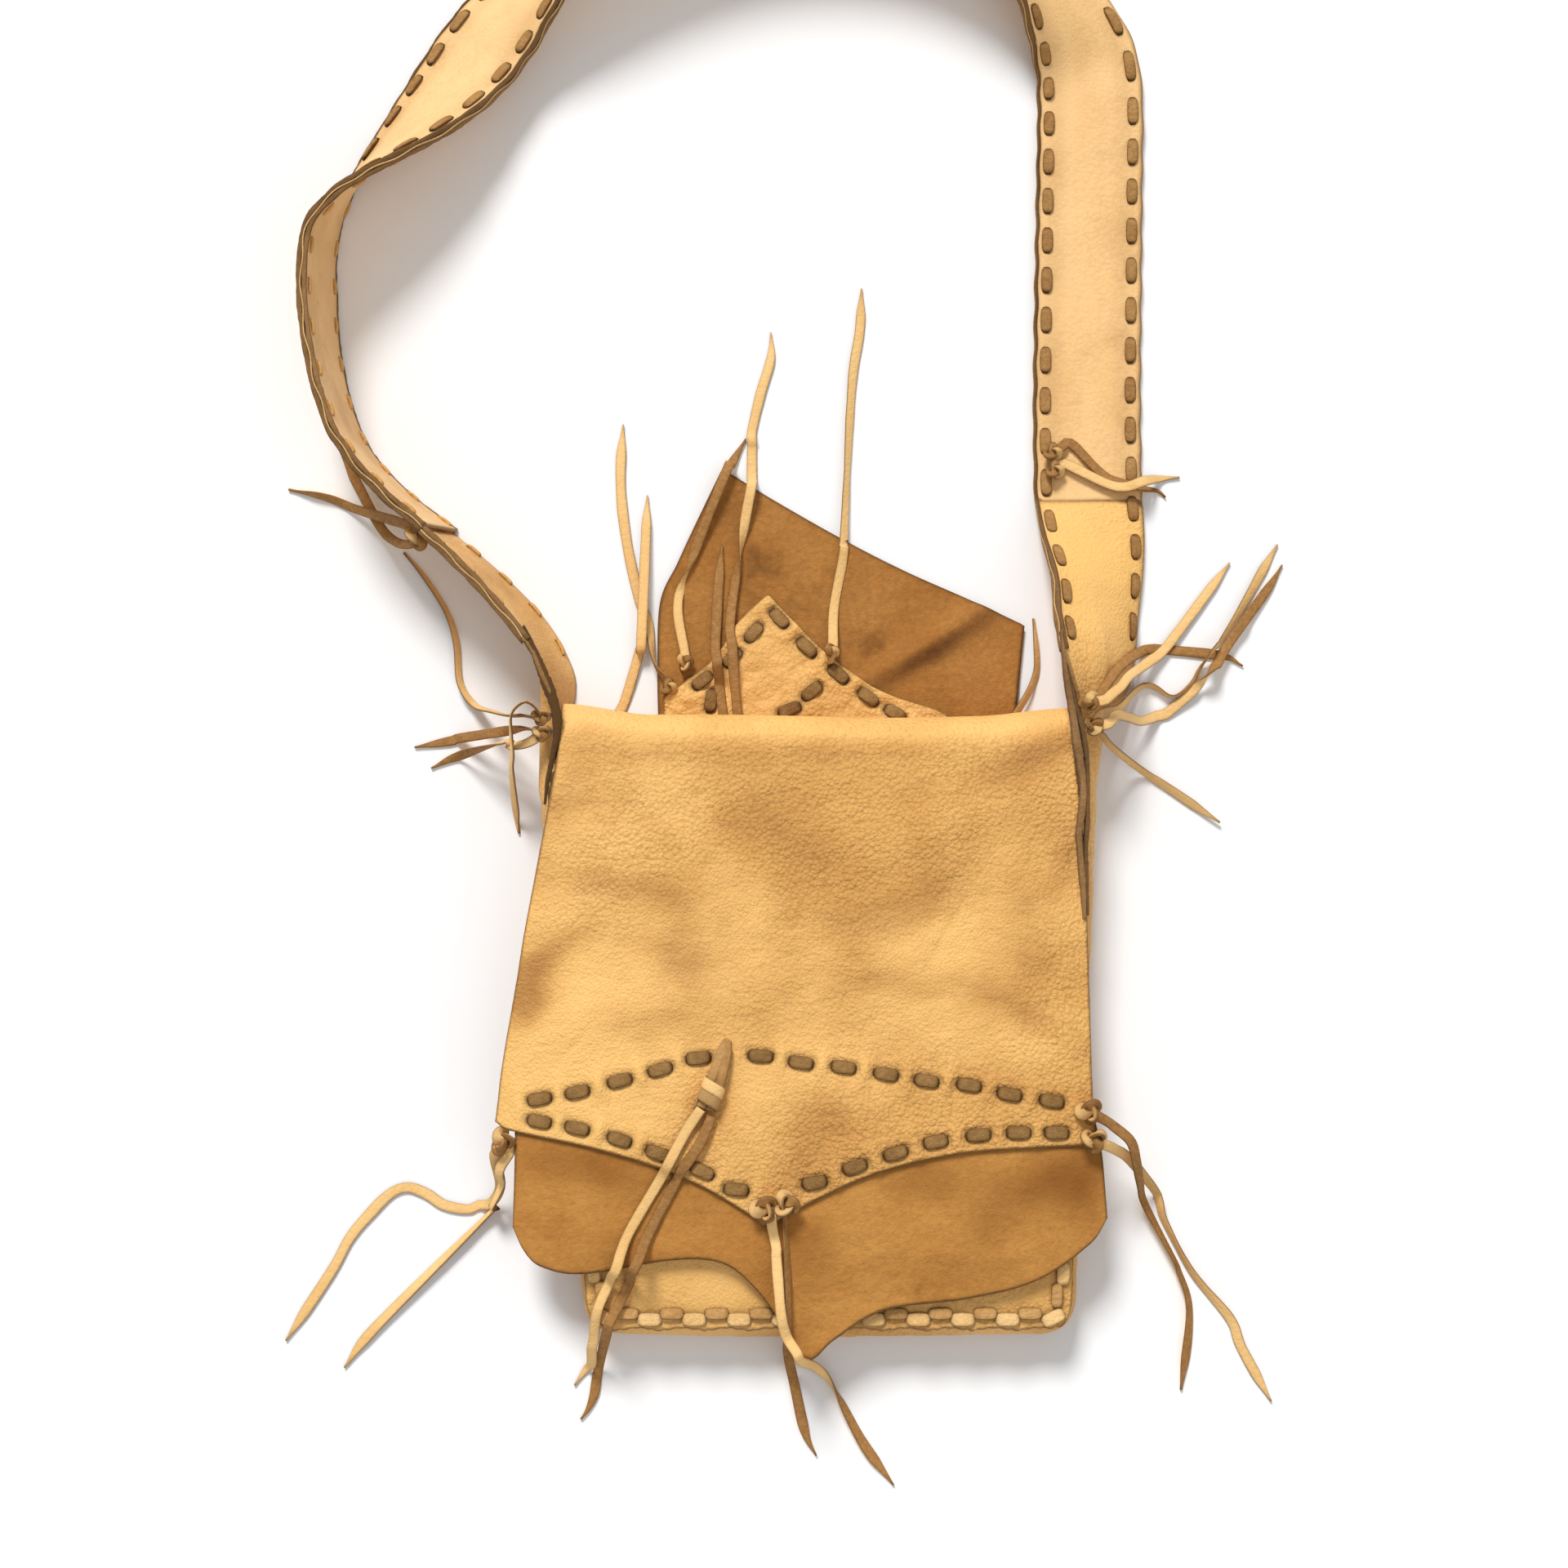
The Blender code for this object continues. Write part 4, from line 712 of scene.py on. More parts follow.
class Value:
    """A shader socket that takes part in plain arithmetic."""

    def __init__(self, finish, socket):
        self.finish = finish
        self.socket = socket

    def maths(self, kind, first, second=0.0, clamp=False):
        """A maths node of any kind between two values."""
        node = self.finish.tree.nodes.new("ShaderNodeMath")
        node.operation = kind
        node.use_clamp = clamp
        self.finish.plug(node.inputs[0], first)
        self.finish.plug(node.inputs[1], second)
        return Value(self.finish, node.outputs[0])

    def __add__(self, other):
        return self.maths("ADD", self, other)

    def __sub__(self, other):
        return self.maths("SUBTRACT", self, other)

    def __rsub__(self, other):
        return self.maths("SUBTRACT", other, self)

    def __mul__(self, other):
        return self.maths("MULTIPLY", self, other)

    def __pow__(self, other):
        return self.maths("POWER", self, other)

    def held(self):
        """The value kept between 0 and 1."""
        return self.maths("ADD", self, 0.0, clamp=True)

    def between(self, low, high):
        """0 at low, 1 at high and smooth between them."""
        return self.finish.node("ShaderNodeMapRange", "Result", interpolation_type="SMOOTHSTEP",
                                Value=self, From_Min=low, From_Max=high)

    __radd__ = __add__
    __rmul__ = __mul__


class Finish:
    """A material made of one Principled shader and what feeds it."""

    def __init__(self, name, roughness=0.6, **constants):
        self.material = bpy.data.materials.new(name)
        self.material.use_nodes = True
        self.tree = self.material.node_tree
        self.shader = self.tree.nodes["Principled BSDF"]
        self.shader.inputs["Roughness"].default_value = roughness
        for socket, value in constants.items():
            self.shader.inputs[socket.replace("_", " ")].default_value = value
        self.place = self.node("ShaderNodeTexCoord", "Object")

    def plug(self, socket, value):
        """Links a value to a socket, or sets a plain number or colour."""
        if isinstance(value, Value):
            self.tree.links.new(value.socket, socket)
        elif isinstance(value, tuple) and len(value) == 3 and socket.type == "RGBA":
            socket.default_value = (*value, 1.0)
        else:
            socket.default_value = value

    def node(self, kind, out=0, **inputs):
        """A node of any kind: words that are its own settings are set, others are sockets."""
        made = self.tree.nodes.new(kind)
        for label, value in inputs.items():
            if hasattr(made, label):
                setattr(made, label, value)
            else:
                self.plug(made.inputs[label.replace("_", " ")], value)
        return Value(self, made.outputs[out])

    def kept(self, label):
        """A value kept at the mesh's points."""
        return self.node("ShaderNodeAttribute", "Fac", attribute_name=label)

    def noise(self, size, detail=3.0, roughness=0.55, where=None):
        """Cloudy noise whose clouds are about size metres across."""
        return self.node("ShaderNodeTexNoise", "Fac", Vector=where or self.place, Scale=0.5 / size,
                         Detail=detail, Roughness=roughness)

    def cells(self, size):
        """Distance to the cells of a pebbled surface, each about size metres across."""
        return self.node("ShaderNodeTexVoronoi", "Distance", Vector=self.place, Scale=1 / size)

    def stretched(self, x, y, z):
        """Places for a texture that is squeezed by these shares along each axis."""
        return self.node("ShaderNodeMapping", 0, Vector=self.place, Scale=(x, y, z))

    def mix(self, share, low, high):
        """The colour between low and high."""
        made = self.tree.nodes.new("ShaderNodeMix")
        made.data_type = "RGBA"
        self.plug(made.inputs[0], share)
        self.plug(made.inputs[6], low)
        self.plug(made.inputs[7], high)
        return Value(self, made.outputs[2])

    def relief(self, height, depth):
        """A bump of the given depth in metres."""
        return self.node("ShaderNodeBump", 0, Height=height, Distance=depth, Strength=1.0)

    def finish(self, colour, roughness, bump):
        """The material, once its colour, roughness and bump are plugged in."""
        for socket, value in (("Base Color", colour), ("Roughness", roughness), ("Normal", bump)):
            self.plug(self.shader.inputs[socket], value)
        return self.material


PALE = rgb(242, 190, 112)
HONEY = rgb(208, 152, 80)
TAN = rgb(168, 116, 58)
RAW = rgb(128, 92, 52)
DARK = rgb(74, 48, 22)


def suede_colour(cloth, dark, middle, pale):
    """Nap brushed different ways: broad clouds of tone, streaks along the nap and fine flecks."""
    clouds = cloth.noise(0.035, 4.0, 0.6).between(0.36, 0.64)
    patches = cloth.noise(0.016, 4.0, 0.65).between(0.50, 0.74)
    streaks = cloth.noise(0.005, 3.0, 0.7, cloth.stretched(0.35, 1.6, 1.0)).between(0.35, 0.7)
    flecks = cloth.noise(0.0014, 2.0, 0.7).between(0.3, 0.7)
    tone = cloth.mix(clouds * 0.8 + streaks * 0.3, middle, pale)
    tone = cloth.mix((1 - clouds) * patches * 0.8, tone, dark)
    return cloth.mix(flecks * 0.22, tone, dark)


def grain_finish(name, tone, depth, pale=PALE, honey=HONEY, pitted=1.0):
    """Pale vegetable-tanned grain leather: pebbled, creased, stained where it is handled, and
    suede on its under side. The mesh's values also lay painted shade on dents, round stitches and
    in sunken seam lines, and a painted highlight along the flap's fold. tone is how much honey
    colour lies over the pale hide, and pitted how dark its pores are.
    """
    skin = Finish(name, 0.5, Specular_IOR_Level=0.28)
    rim, side, stain, dent = (skin.kept(label) for label in ("rim", "side", "stain", "dent"))
    coarse = skin.cells(0.0021)
    fine = skin.cells(0.0012)
    creases = skin.noise(0.0050, 5.0, 0.62, skin.stretched(0.7, 1.5, 1.0))
    clouds = skin.noise(0.048, 4.0, 0.55).between(0.36, 0.66)
    blotch = skin.noise(0.015, 5.0, 0.65).between(0.38, 0.70)
    tight = skin.noise(0.060, 2.0).between(0.38, 0.60)
    # Stains, and on the front flap painted shade on dents and a painted highlight along the fold
    honeyed = (clouds * tone + blotch * 0.35 * tone + stain * 0.8).held()
    colour = skin.mix(honeyed, pale, honey)
    colour = skin.mix((stain - 0.35).held() * 0.9 + blotch * stain * 0.35, colour, TAN)
    pits = coarse.between(0.42, 0.80) * tight + fine.between(0.45, 0.85) * 0.5
    colour = skin.mix(pits * (0.16 * pitted + 0.30 * pitted * stain), colour, TAN)
    colour = skin.mix(creases.between(0.56, 0.70) * (0.10 + 0.20 * stain), colour, TAN)
    # Painted shade round the stitches and in the sunken seam lines
    colour = skin.mix((dent * 0.8).held(), colour, DARK)
    colour = skin.mix((rim**3.0) * 0.85, colour, RAW)
    rough = suede_colour(skin, rgb(130, 84, 40), rgb(168, 118, 64), rgb(190, 140, 82))
    colour = skin.mix(side.between(0.25, 0.5), rough, colour)
    height = (1 - coarse) * (0.25 + 0.75 * tight) + (1 - fine) * 0.4 - creases * 1.1
    bump = skin.relief(height * side, depth)
    return skin.finish(colour, 0.46 + 0.14 * clouds + 0.10 * coarse + (1 - side) * 0.3, bump)


def suede_finish(name, dark, middle, pale):
    """Flesh side out: a soft nap with clouds of brushed tone, darker at the cut edges."""
    nap = Finish(name, 0.95, Sheen_Weight=0.06, Sheen_Roughness=0.6, Specular_IOR_Level=0.08)
    rim, stain, dent = nap.kept("rim"), nap.kept("stain"), nap.kept("dent")
    colour = suede_colour(nap, dark, middle, pale)
    # Stains, and on the rear apron painted shade below its fold ridge
    colour = nap.mix((stain * 0.9).held(), colour, dark)
    # Painted shadow below the front flap's V edge, and the cut edges' own darker tone
    colour = nap.mix((dent * 0.85).held(), colour, DARK)
    colour = nap.mix((rim**1.5) * 0.7, colour, DARK)
    fibres = nap.noise(0.0012, 3.0, 0.7)
    pulls = nap.noise(0.005, 4.0, 0.65)
    return nap.finish(colour, 0.88 + 0.1 * fibres, nap.relief(fibres * 0.7 + pulls, 0.0009))


def lace_finish(name, light, dark):
    """A flat lace, paler on its far side: dark cut edges, painted shade where it dives in."""
    lace = Finish(name, 0.85, Specular_IOR_Level=0.12)
    rim, dent, back = lace.kept("rim"), lace.kept("dent"), lace.kept("back")
    flecks = lace.noise(0.0012, 3.0, 0.7).between(0.3, 0.7)
    tone = lace.noise(0.012, 2.0).between(0.35, 0.65)
    colour = lace.mix(flecks * 0.45 + tone * 0.4, light, dark)
    # Dark cut edges with a painted shadow line at the leather, and painted shade where it dives in
    colour = lace.mix((rim * 0.8 + dent).held(), colour, DARK)
    colour = lace.mix(back * 0.85, colour, rgb(222, 172, 104))
    return lace.finish(colour, 0.82 + 0.1 * flecks, lace.relief(flecks, 0.0003))


def thong_finish(name):
    """A loose thong: smooth pale grain on one side, brown suede on the other, dark cut edges."""
    thong = Finish(name, 0.6, Specular_IOR_Level=0.22)
    rim, side, tip = thong.kept("rim"), thong.kept("side"), thong.kept("tip")
    flecks = thong.noise(0.0012, 3.0, 0.7).between(0.3, 0.7)
    tone = thong.noise(0.03, 2.0).between(0.3, 0.7)
    pale = thong.mix(tone * 0.5 + flecks * 0.12, rgb(244, 202, 136), rgb(214, 164, 96))
    brown = thong.mix(flecks * 0.45 + tone * 0.3, rgb(176, 128, 72), rgb(128, 88, 44))
    colour = thong.mix(side.between(0.3, 0.7), brown, pale)
    colour = thong.mix((rim * 0.8).held(), colour, rgb(104, 70, 34))
    colour = thong.mix(tip * 0.45, colour, rgb(126, 88, 44))
    return thong.finish(colour, 0.60 + 0.2 * flecks * (1 - side), thong.relief(flecks, 0.0002))


def drawn(*lines, count):
    """The x and y of flat points between four edge lines drawn in millimetres, count of them
    each way.
    """
    smooth = [curve(np.array(line, float) * MM, 12) for line in lines]
    flat = patch(*(evenly(line, count[k // 2]) for k, line in enumerate(smooth)))
    return flat[..., 0], flat[..., 1]


def spread(stitches):
    """Each stitch's middle, in metres, and its direction along its row."""
    row = np.array(stitches, float) * MM
    ahead = np.concatenate([row[1:], row[-1:]])
    behind = np.concatenate([row[:1], row[:-1]])
    return list(zip(row, unit(ahead - behind)))


def near_stitches(x, y, stitches):
    """How far every point is from each stitch in turn, along it and across it."""
    for (cx, cy), (ax, ay) in stitches:
        yield (x - cx) * ax + (y - cy) * ay, (y - cy) * ax - (x - cx) * ay


def puckers(x, y, stitches):
    """How leather is drawn in along a row: a dip where the lace goes through at both ends of
    each stitch, a shallow one under its middle, and a low hump between two stitches.
    """
    total = np.zeros_like(x)
    for along, across in near_stitches(x, y, stitches):
        for end in (-1, 1):
            total -= 1.1 * MM * hill(along - end * STITCH_HALF, 2.2 * MM, across, 3.6 * MM)
            total += 0.9 * MM * hill(along - end * STITCH_PITCH / 2, 3.0 * MM, across, 6.5 * MM)
        total -= 0.5 * MM * hill(along, 4.5 * MM, across, 3.0 * MM)
    return total


def stitch_shade(x, y, stitches):
    """Painted shade round each stitch: darkest at its two ends, a thin painted shadow beside it."""
    total = np.zeros_like(x)
    for along, across in near_stitches(x, y, stitches):
        total += hill(np.abs(along) - STITCH_HALF, 1.2 * MM, across, 2.2 * MM)
        ring = np.hypot(along / (STITCH_HALF + 0.5 * MM), across / (LACE_WIDTH / 2 + 0.4 * MM)) - 1
        total += 0.45 * hill(ring * LACE_WIDTH / 2, 0.8 * MM)
    return np.clip(total, 0, 1)


def running_lace(stitches, place, through, width=LACE_WIDTH, half=STITCH_HALF):
    """A lace that runs along a row: up through the leather, over it for one stitch and down
    again. place gives the point of a flat position and height, and through is how far the
    lace goes down.
    """
    rows = []
    for middle, along in stitches:
        across = np.array([-along[1], along[0]]) * MM
        for run, down, up, wide, dim, far in STITCH:
            spot = middle + along * run * half
            height = down * through + up * MM
            here = [place(*(spot + across * k), height) for k in (-1, 0, 1)]
            rows.append([*here[1], *unit(here[2] - here[0]), wide * width, dim, far])
    rows = curve(np.array(rows), 3)
    # The stitch's dark column is painted shade where the lace dives into the leather
    return ribbon(rows[:, :3], rows[:, 3:6], rows[:, 6], LACE_THICK,
                  dent=np.clip(rows[:, 7], 0, 1), back=np.clip(rows[:, 8], 0, 1))


def lace_rows(body, rows, place, through, finish):
    """The running laces of a flap, each under the name of the node that it stands for."""
    for name, row in rows.items():
        build(name + "_woven", body, running_lace(row, place, through), finish, (name,), "lace")


def tail(name, body, sides, route, finish):
    """A loose thong on its route, from inside the knot where one is near, turned over where its
    list says and tapered to a point, declared with its real length.
    """
    route = np.array(route, float)
    centres = np.array([centre for _, centre, _, _ in KNOTS.values()])
    apart = np.linalg.norm(centres - route[0], axis=1)
    if apart.min() < KNOT_REACH:
        route = np.concatenate([[0.6 * centres[apart.argmin()] + 0.4 * route[0]], route])
    line = curve(route * MM, 12)
    length = reach(line)[-1]
    count = int(length / THONG_STEP)
    line = evenly(line, count)
    share = np.linspace(0, 1, count)
    left = (1 - share) * length
    width = THONG_WIDTH * (0.17 + 0.83 * step(0, THONG_TAPER, left) ** 0.8)
    width = width * (1 + 0.08 * ripple(line[:, 0], line[:, 1], 0.03, 5))
    turn = math.pi * (1 - np.interp(share, *zip(*sides)))[:, None]
    along = unit(np.gradient(line, axis=0))
    side = unit(np.cross(UP, along))
    agree = np.sign(np.sum(side[1:] * side[:-1], axis=1))
    side[1:] *= np.cumprod(np.where(agree < 0, -1, 1))[:, None]
    side = side * np.cos(turn) + np.cross(along, side) * np.sin(turn)
    facing = np.cross(along, side)
    rise = np.abs(side[:, 2]) * width / 2 + np.abs(facing[:, 2]) * THONG_THICK / 2
    line[:, 2] = np.maximum(line[:, 2], rise + CLEAR)
    parts = ribbon(line, side, width, THONG_THICK * 0.92, tip=step(9 * MM, 0, left))
    piece = build(name + "_leather", body, parts, finish, (name,), "thong")
    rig.cord(piece, exit=tuple(line[0]), length=reach(line)[-1], diameter=THONG_WIDTH,
            far_end="bare", stiffness="limp", lay="loose", path=line.tolist())


def knot(name, body, centre, size, turn, finish, instead=()):
    """A pulled overhand knot: a thong whose line is a trefoil, x = sin t + 2 sin 2t,
    y = cos t - 2 cos 2t and z = -sin 3t, scaled to the knot's size, turning over as it goes.
    """
    t = np.linspace(0, 2 * math.pi, 96, endpoint=False)
    long, wide, high = (v * MM for v in size)
    a = (np.sin(t) + 2 * np.sin(2 * t)) * long / 7.6
    b = (np.cos(t) - 2 * np.cos(2 * t)) * wide / 7.2
    c, s = math.cos(math.radians(turn)), math.sin(math.radians(turn))
    z = -np.sin(3 * t) * (high - 1.8 * MM) / 2
    line = np.stack([a * c - b * s, a * s + b * c, z], axis=1) + np.array(centre) * MM
    along = unit(np.roll(line, -1, 0) - np.roll(line, 1, 0))
    side = unit(np.cross(UP, along))
    lean = (t + turn)[:, None]
    side = side * np.cos(lean) + np.cross(along, side) * np.sin(lean)
    parts = ribbon(line, side, wide * 0.62, 2.0 * MM, closed=True, tip=0.5)
    build(name + "_tied", body, parts, finish, instead, "lace")


# Front flap
def shaded(x, y):
    """The painted shadow that the flap's V edge lays on the apron just below it, a dark line."""
    v_edge = curve(np.array(FLAP_EDGE, float) * MM, 6)
    below = np.interp(x, v_edge[:, 0], v_edge[:, 1]) - y
    return 0.5 * hill(below - 0.4 * MM, 1.6 * MM)


def flap_waves(x, y):
    """How far the flap stands from flat: its dents and a gentle unevenness."""
    flat = step(0.150, 0.100, y)
    total = 0.35 * MM * ripple(x, y, 0.085, 3) + 0.14 * MM * ripple(x, y, 0.014, 8)
    total = total + hills(x, y, FLAP_DENTS) * MM
    for ax, ay, bx, by in FLAP_CREASES:
        run, rise = (bx - ax) / 2, (by - ay) / 2
        turn = math.degrees(math.atan2(rise, run))
        crease = bump_at(x, y, ax + run, ay + rise, math.hypot(run, rise), 1.6, turn)
        total = total - 0.4 * MM * crease
    return total * (0.20 + 0.80 * flat) * step(0.185, 0.150, y)


def flap_place(x, y, h):
    """A point of the front flap: flat over the filled pouch, then down and round the fold, whose
    corners are pulled up towards the strap, to the back panel's edge.
    """
    past = np.maximum(y - FOLD_Y, 0)
    turn = past / FOLD_RADIUS
    radius = FOLD_RADIUS + h
    z = np.where(past > 0, FOLD_Z + radius * np.cos(turn), FLAP_TOP_Z + h + sink(x, y))
    along = np.where(past > 0, FOLD_Y + radius * np.sin(turn), y)
    pull = 5 * step(-0.070, -0.112, x) + 3 * step(0.080, 0.122, x) - 1.5 * bump_at(x, 0, 40, 0, 50, 1)
    along = along + pull * MM * step(0.085, 0.135, y) * step(math.pi, math.pi / 2, turn)
    return np.stack([np.broadcast_to(x, np.shape(z)), along, z], axis=-1)


def front_flap(skin, suede, lace):
    """The front flap with its V edge, the apron below it and the two rows of lace."""
    upper, lower = spread(UPPER_STITCHES), spread(LOWER_STITCHES)
    rows = [*upper, *lower]
    half_turn = FOLD_RADIUS * math.pi / MM
    top = [(x, FOLD_Y / MM + half_turn) for x in FOLD_ENDS]
    left = [FLAP_CORNER, *FLAP_LEFT, (FLAP_LEFT[-1][0], FOLD_Y / MM + half_turn / 2), top[0]]
    right = [FLAP_EDGE[-1], *FLAP_RIGHT, (FLAP_RIGHT[-1][0], FOLD_Y / MM + half_turn / 2), top[1]]
    x, y = drawn([FLAP_CORNER, *FLAP_EDGE[1:]], top, left, right, count=(190, 225))
    grid = flap_place(x, y, flap_waves(x, y) + puckers(x, y, rows))
    # Stains with painted shade on dents and a painted highlight along the fold, and painted shade round the stitches
    stain = 0.06 * ripple(x, y, 0.05, 12) + hills(x, y, FLAP_STAINS_AND_PAINTED_LIGHT)
    parts = hide(grid, stain=np.clip(stain, -0.6, 1), dent=stitch_shade(x, y, rows))
    build("front_flap_leather", "front_flap_body", parts, skin, ("front_flap",), "grain",
          ((0, FOLD_Y, BACK_MARGIN_Z), (0, FOLD_Y, FLAP_TOP_Z)))

    left = [APRON_EDGE[0], (-130, -52), APRON_TOP[0]]
    right = [APRON_EDGE[-1], (132, -57), APRON_TOP[-1]]
    x, y = drawn(APRON_EDGE, APRON_TOP, left, right, count=(190, 90))
    free = step(-0.075, -0.115, y)
    h = flap_waves(x, y) * 0.6 + puckers(x, y, rows) + free * 0.9 * MM * ripple(x, y, 0.06, 21)
    grid = np.stack([x, y, APRON_Z + LEATHER + sink(x, y) + h], axis=-1)
    stain = 0.35 * ripple(x, y, 0.07, 33) + hills(x, y, APRON_STAINS)
    parts = hide(grid, stain=np.clip(stain, -0.4, 1), dent=shaded(x, y))
    # The painted shadow lies on the apron's upper face only
    parts[2]["dent"][x.size : 2 * x.size] = 0
    build("front_apron_suede", "front_flap_body", parts, suede, ("front_apron",), "suede")

    def place(x, y, h):
        return flap_place(x, y, h + flap_waves(x, y))

    through = FLAP_TOP_Z - (APRON_Z - GAP - LACE_THICK / 2)
    laces = {"flap_lace_upper": upper, "flap_lace_lower": lower}
    lace_rows("front_flap_body", laces, place, through, lace)


def closure(thong):
    """The closing thong: two strands from one hole in the flap, flesh side up, bound by two
    turns of thong, a helix round their middle. All in millimetres.
    """
    centre, lean = np.array((-42.3, -34.4, 45.4)), math.radians(70)
    along = np.array((math.cos(lean), math.sin(lean), 0.06))
    side = np.array((-along[1], along[0], 0))
    t = np.linspace(0, 2.2, 80)[:, None]
    turn = 2 * math.pi * t - 1.1
    line = centre + along * (1.05 - t) * 5.2 + side * np.cos(turn) * 4.6 + UP * np.sin(turn) * 2.9
    wrap_side = np.broadcast_to(along, line.shape)
    parts = [ribbon(line * MM, wrap_side, 5.4 * MM, 1.7 * MM, tip=1.4 * step(0.95, 1.25, t[:, 0]))]
    for shift, shade in ((-1, 0.36), (1, 0.42)):
        beside = side * shift
        strand = [np.array((-34.6, -9.6, 40.6)), np.array((-35.2, -11.6, 43.0)),
                  np.array((-36.4, -16, 44.6)) + beside * 1.3, centre + along * 9 + beside * 2.0,
                  centre + beside * 2.1, centre - along * 6.6 + beside * 2.2]
        line = curve(strand, 8)
        width = np.interp(np.arange(len(line)), [0, 12, 30], [3.0, 4.2, 4.4]) * MM
        parts.append(ribbon(line * MM, np.broadcast_to(side, line.shape), width, 1.5 * MM, tip=0))
        parts[-1][2]["side"][:] = shade
    build("closure_wrap_bound", "front_flap_body", joined(parts), thong,
          ("closure_wrap", "closure_strand"), "lace")


# Rear flap, swung up past the mouth
def rear_waves(x, y):
    """How far the wrinkled rear flap stands above its place."""
    folds = 0.7 * MM * ripple(x, y, 0.030, 41) + 0.55 * MM * ripple(x, y, 0.013, 42)
    folds = folds + 0.22 * MM * ripple(x * 0.6, y, 0.005, 43)
    return (folds + 0.8 * MM) * step(0.128, 0.150, y)


def rear_flap(skin, suede, lace):
    """The rear flap's V piece, wrinkled between its two rows of lace, on its suede apron."""
    right, left = spread(REAR_RIGHT_STITCHES), spread(REAR_LEFT_STITCHES)
    for x, y, turn in REAR_INNER_STITCHES:
        lean = math.radians(turn)
        left.append((np.array([x, y]) * MM, np.array([math.cos(lean), math.sin(lean)])))
    rows = [*right, *left]
    x, y = drawn(*REAR_FLAP_EDGES, count=(130, 70))
    h = rear_waves(x, y) + puckers(x, y, rows)
    grid = np.stack([x, y, REAR_FLAP_Z + LEATHER + h], axis=-1)
    # Painted shade round the stitches
    parts = hide(grid, stain=0.12 * (1 + ripple(x, y, 0.03, 44)), dent=stitch_shade(x, y, rows))
    build("rear_flap_leather", "rear_flap_body", parts, skin, ("rear_flap",), "grain")

    x, y = drawn(*REAR_APRON_EDGES, count=(130, 100))
    free = step(0.135, 0.16, y)
    h = 0.35 * MM * ripple(x, y, 0.07, 51) * free + puckers(x, y, rows) * 0.4
    h = h + 2.2 * MM * bump_at(x, y, 60, 180, 40, 5.5, 33) * free
    # Painted shade below the fold ridge and less above it, with random tone, carried as staining
    shade = hills(x, y, REAR_FOLD_SHADES) + 0.25 * ripple(x, y, 0.06, 52)
    grid = np.stack([x, y, REAR_APRON_Z + LEATHER + np.maximum(h, -0.8 * MM)], axis=-1)
    parts = hide(grid, stain=np.clip(shade, 0, 1), dent=0)
    build("rear_apron_suede", "rear_flap_body", parts, suede, ("rear_apron",), "suede")

    def place(x, y, h):
        z = REAR_FLAP_Z + LEATHER + h + float(rear_waves(x, y))
        return np.array([x, y, max(z, LACE_THICK / 2 + CLEAR)])

    through = REAR_FLAP_Z + LEATHER - (REAR_APRON_Z - GAP - LACE_THICK / 2)
    laces = {"rear_lace_right": right, "rear_lace_left": left}
    lace_rows("rear_flap_body", laces, place, through, lace)


# Pouch
def rounded(before, corner, after):
    """A corner of the pouch as a curve that leaves its two sides CORNER_RADIUS before it."""
    first = corner + unit(before - corner) * CORNER_RADIUS
    last = corner + unit(after - corner) * CORNER_RADIUS
    t = np.linspace(0, 1, 9)[:, None]
    return (1 - t) ** 2 * first + 2 * t * (1 - t) * corner + t**2 * last


def seam_line(spacing=2.0 * MM):
    """The pouch's outline without its mouth, with its bottom corners rounded, and the outward
    direction at each point.
    """
    a, b, c, d = CORNERS
    points = np.concatenate([[a], rounded(a, b, c), rounded(b, c, d), [d]])
    line = evenly(points, int(reach(points)[-1] / spacing))
    along = unit(np.gradient(line, axis=0))
    return line, np.stack([-along[:, 1], along[:, 0]], axis=1)


def seam_waves(far):
    """How the sewn edge ripples with its stitches, by the distance along it."""
    return np.cos(2 * math.pi * far / (STITCH_PITCH / 2)) * 0.35 * MM


def panel_grid(top_y):
    """Flat points over a panel of the pouch, up to top_y."""
    a, b, c, d = CORNERS
    low_left, low_right = rounded(b, c, d), rounded(a, b, c)
    near = np.concatenate([low_left[4::-1], low_right[:3:-1]])
    left = np.concatenate([low_left[4:], [d + (d - c) / (d - c)[1] * (top_y - d[1])]])
    right = np.concatenate([low_right[4::-1], [a + (a - b) / (a - b)[1] * (top_y - a[1])]])
    far = np.array([left[-1], right[-1]])
    return patch(evenly(near, 150), evenly(far, 150), evenly(left, 130), evenly(right, 130))


def seam_far(x, y):
    """Distance from the pouch's seam outline, inwards, and the place along it."""
    line, _ = seam_line(4 * MM)
    far = reach(line)
    flat = np.stack([x, y], axis=-1).reshape(-1, 1, 2)
    apart = np.linalg.norm(flat - line[None], axis=2)
    return apart.min(1).reshape(x.shape), far[apart.argmin(1)].reshape(x.shape)


def front_panel(skin):
    """The pouch's front, its edge drawn in and scalloped by the seam's stitches."""
    flat = panel_grid(MOUTH_Y - 2 * LAYER_GAP)
    x, y = flat[..., 0], flat[..., 1]
    edge, run = seam_far(x, y)
    margin = hill(edge - SEAM_INSET, 3.2 * MM)
    h = 0.5 * MM * ripple(x, y, 0.07, 61) * step(0, 0.02, edge) - 0.5 * MM * margin
    h = h + seam_waves(run) * np.exp(-edge / (3 * MM)) + hills(x, y, PANEL_DENTS) * MM
    scallop = np.cos(2 * math.pi * run / STITCH_PITCH) * np.exp(-edge / (2.5 * MM))
    y = y + 0.9 * MM * scallop * (y < 0)
    grid = settled(np.stack([x, y, FRONT_Z + np.minimum(h, 0.6 * MM)], axis=-1))
    # Darker along the sunken seam line, and painted shade in its groove
    parts = hide(grid, stain=0.12 + 0.3 * margin, dent=0.28 * margin)
    build("front_panel_leather", "bag", parts, skin, ("front_panel",), "grain")


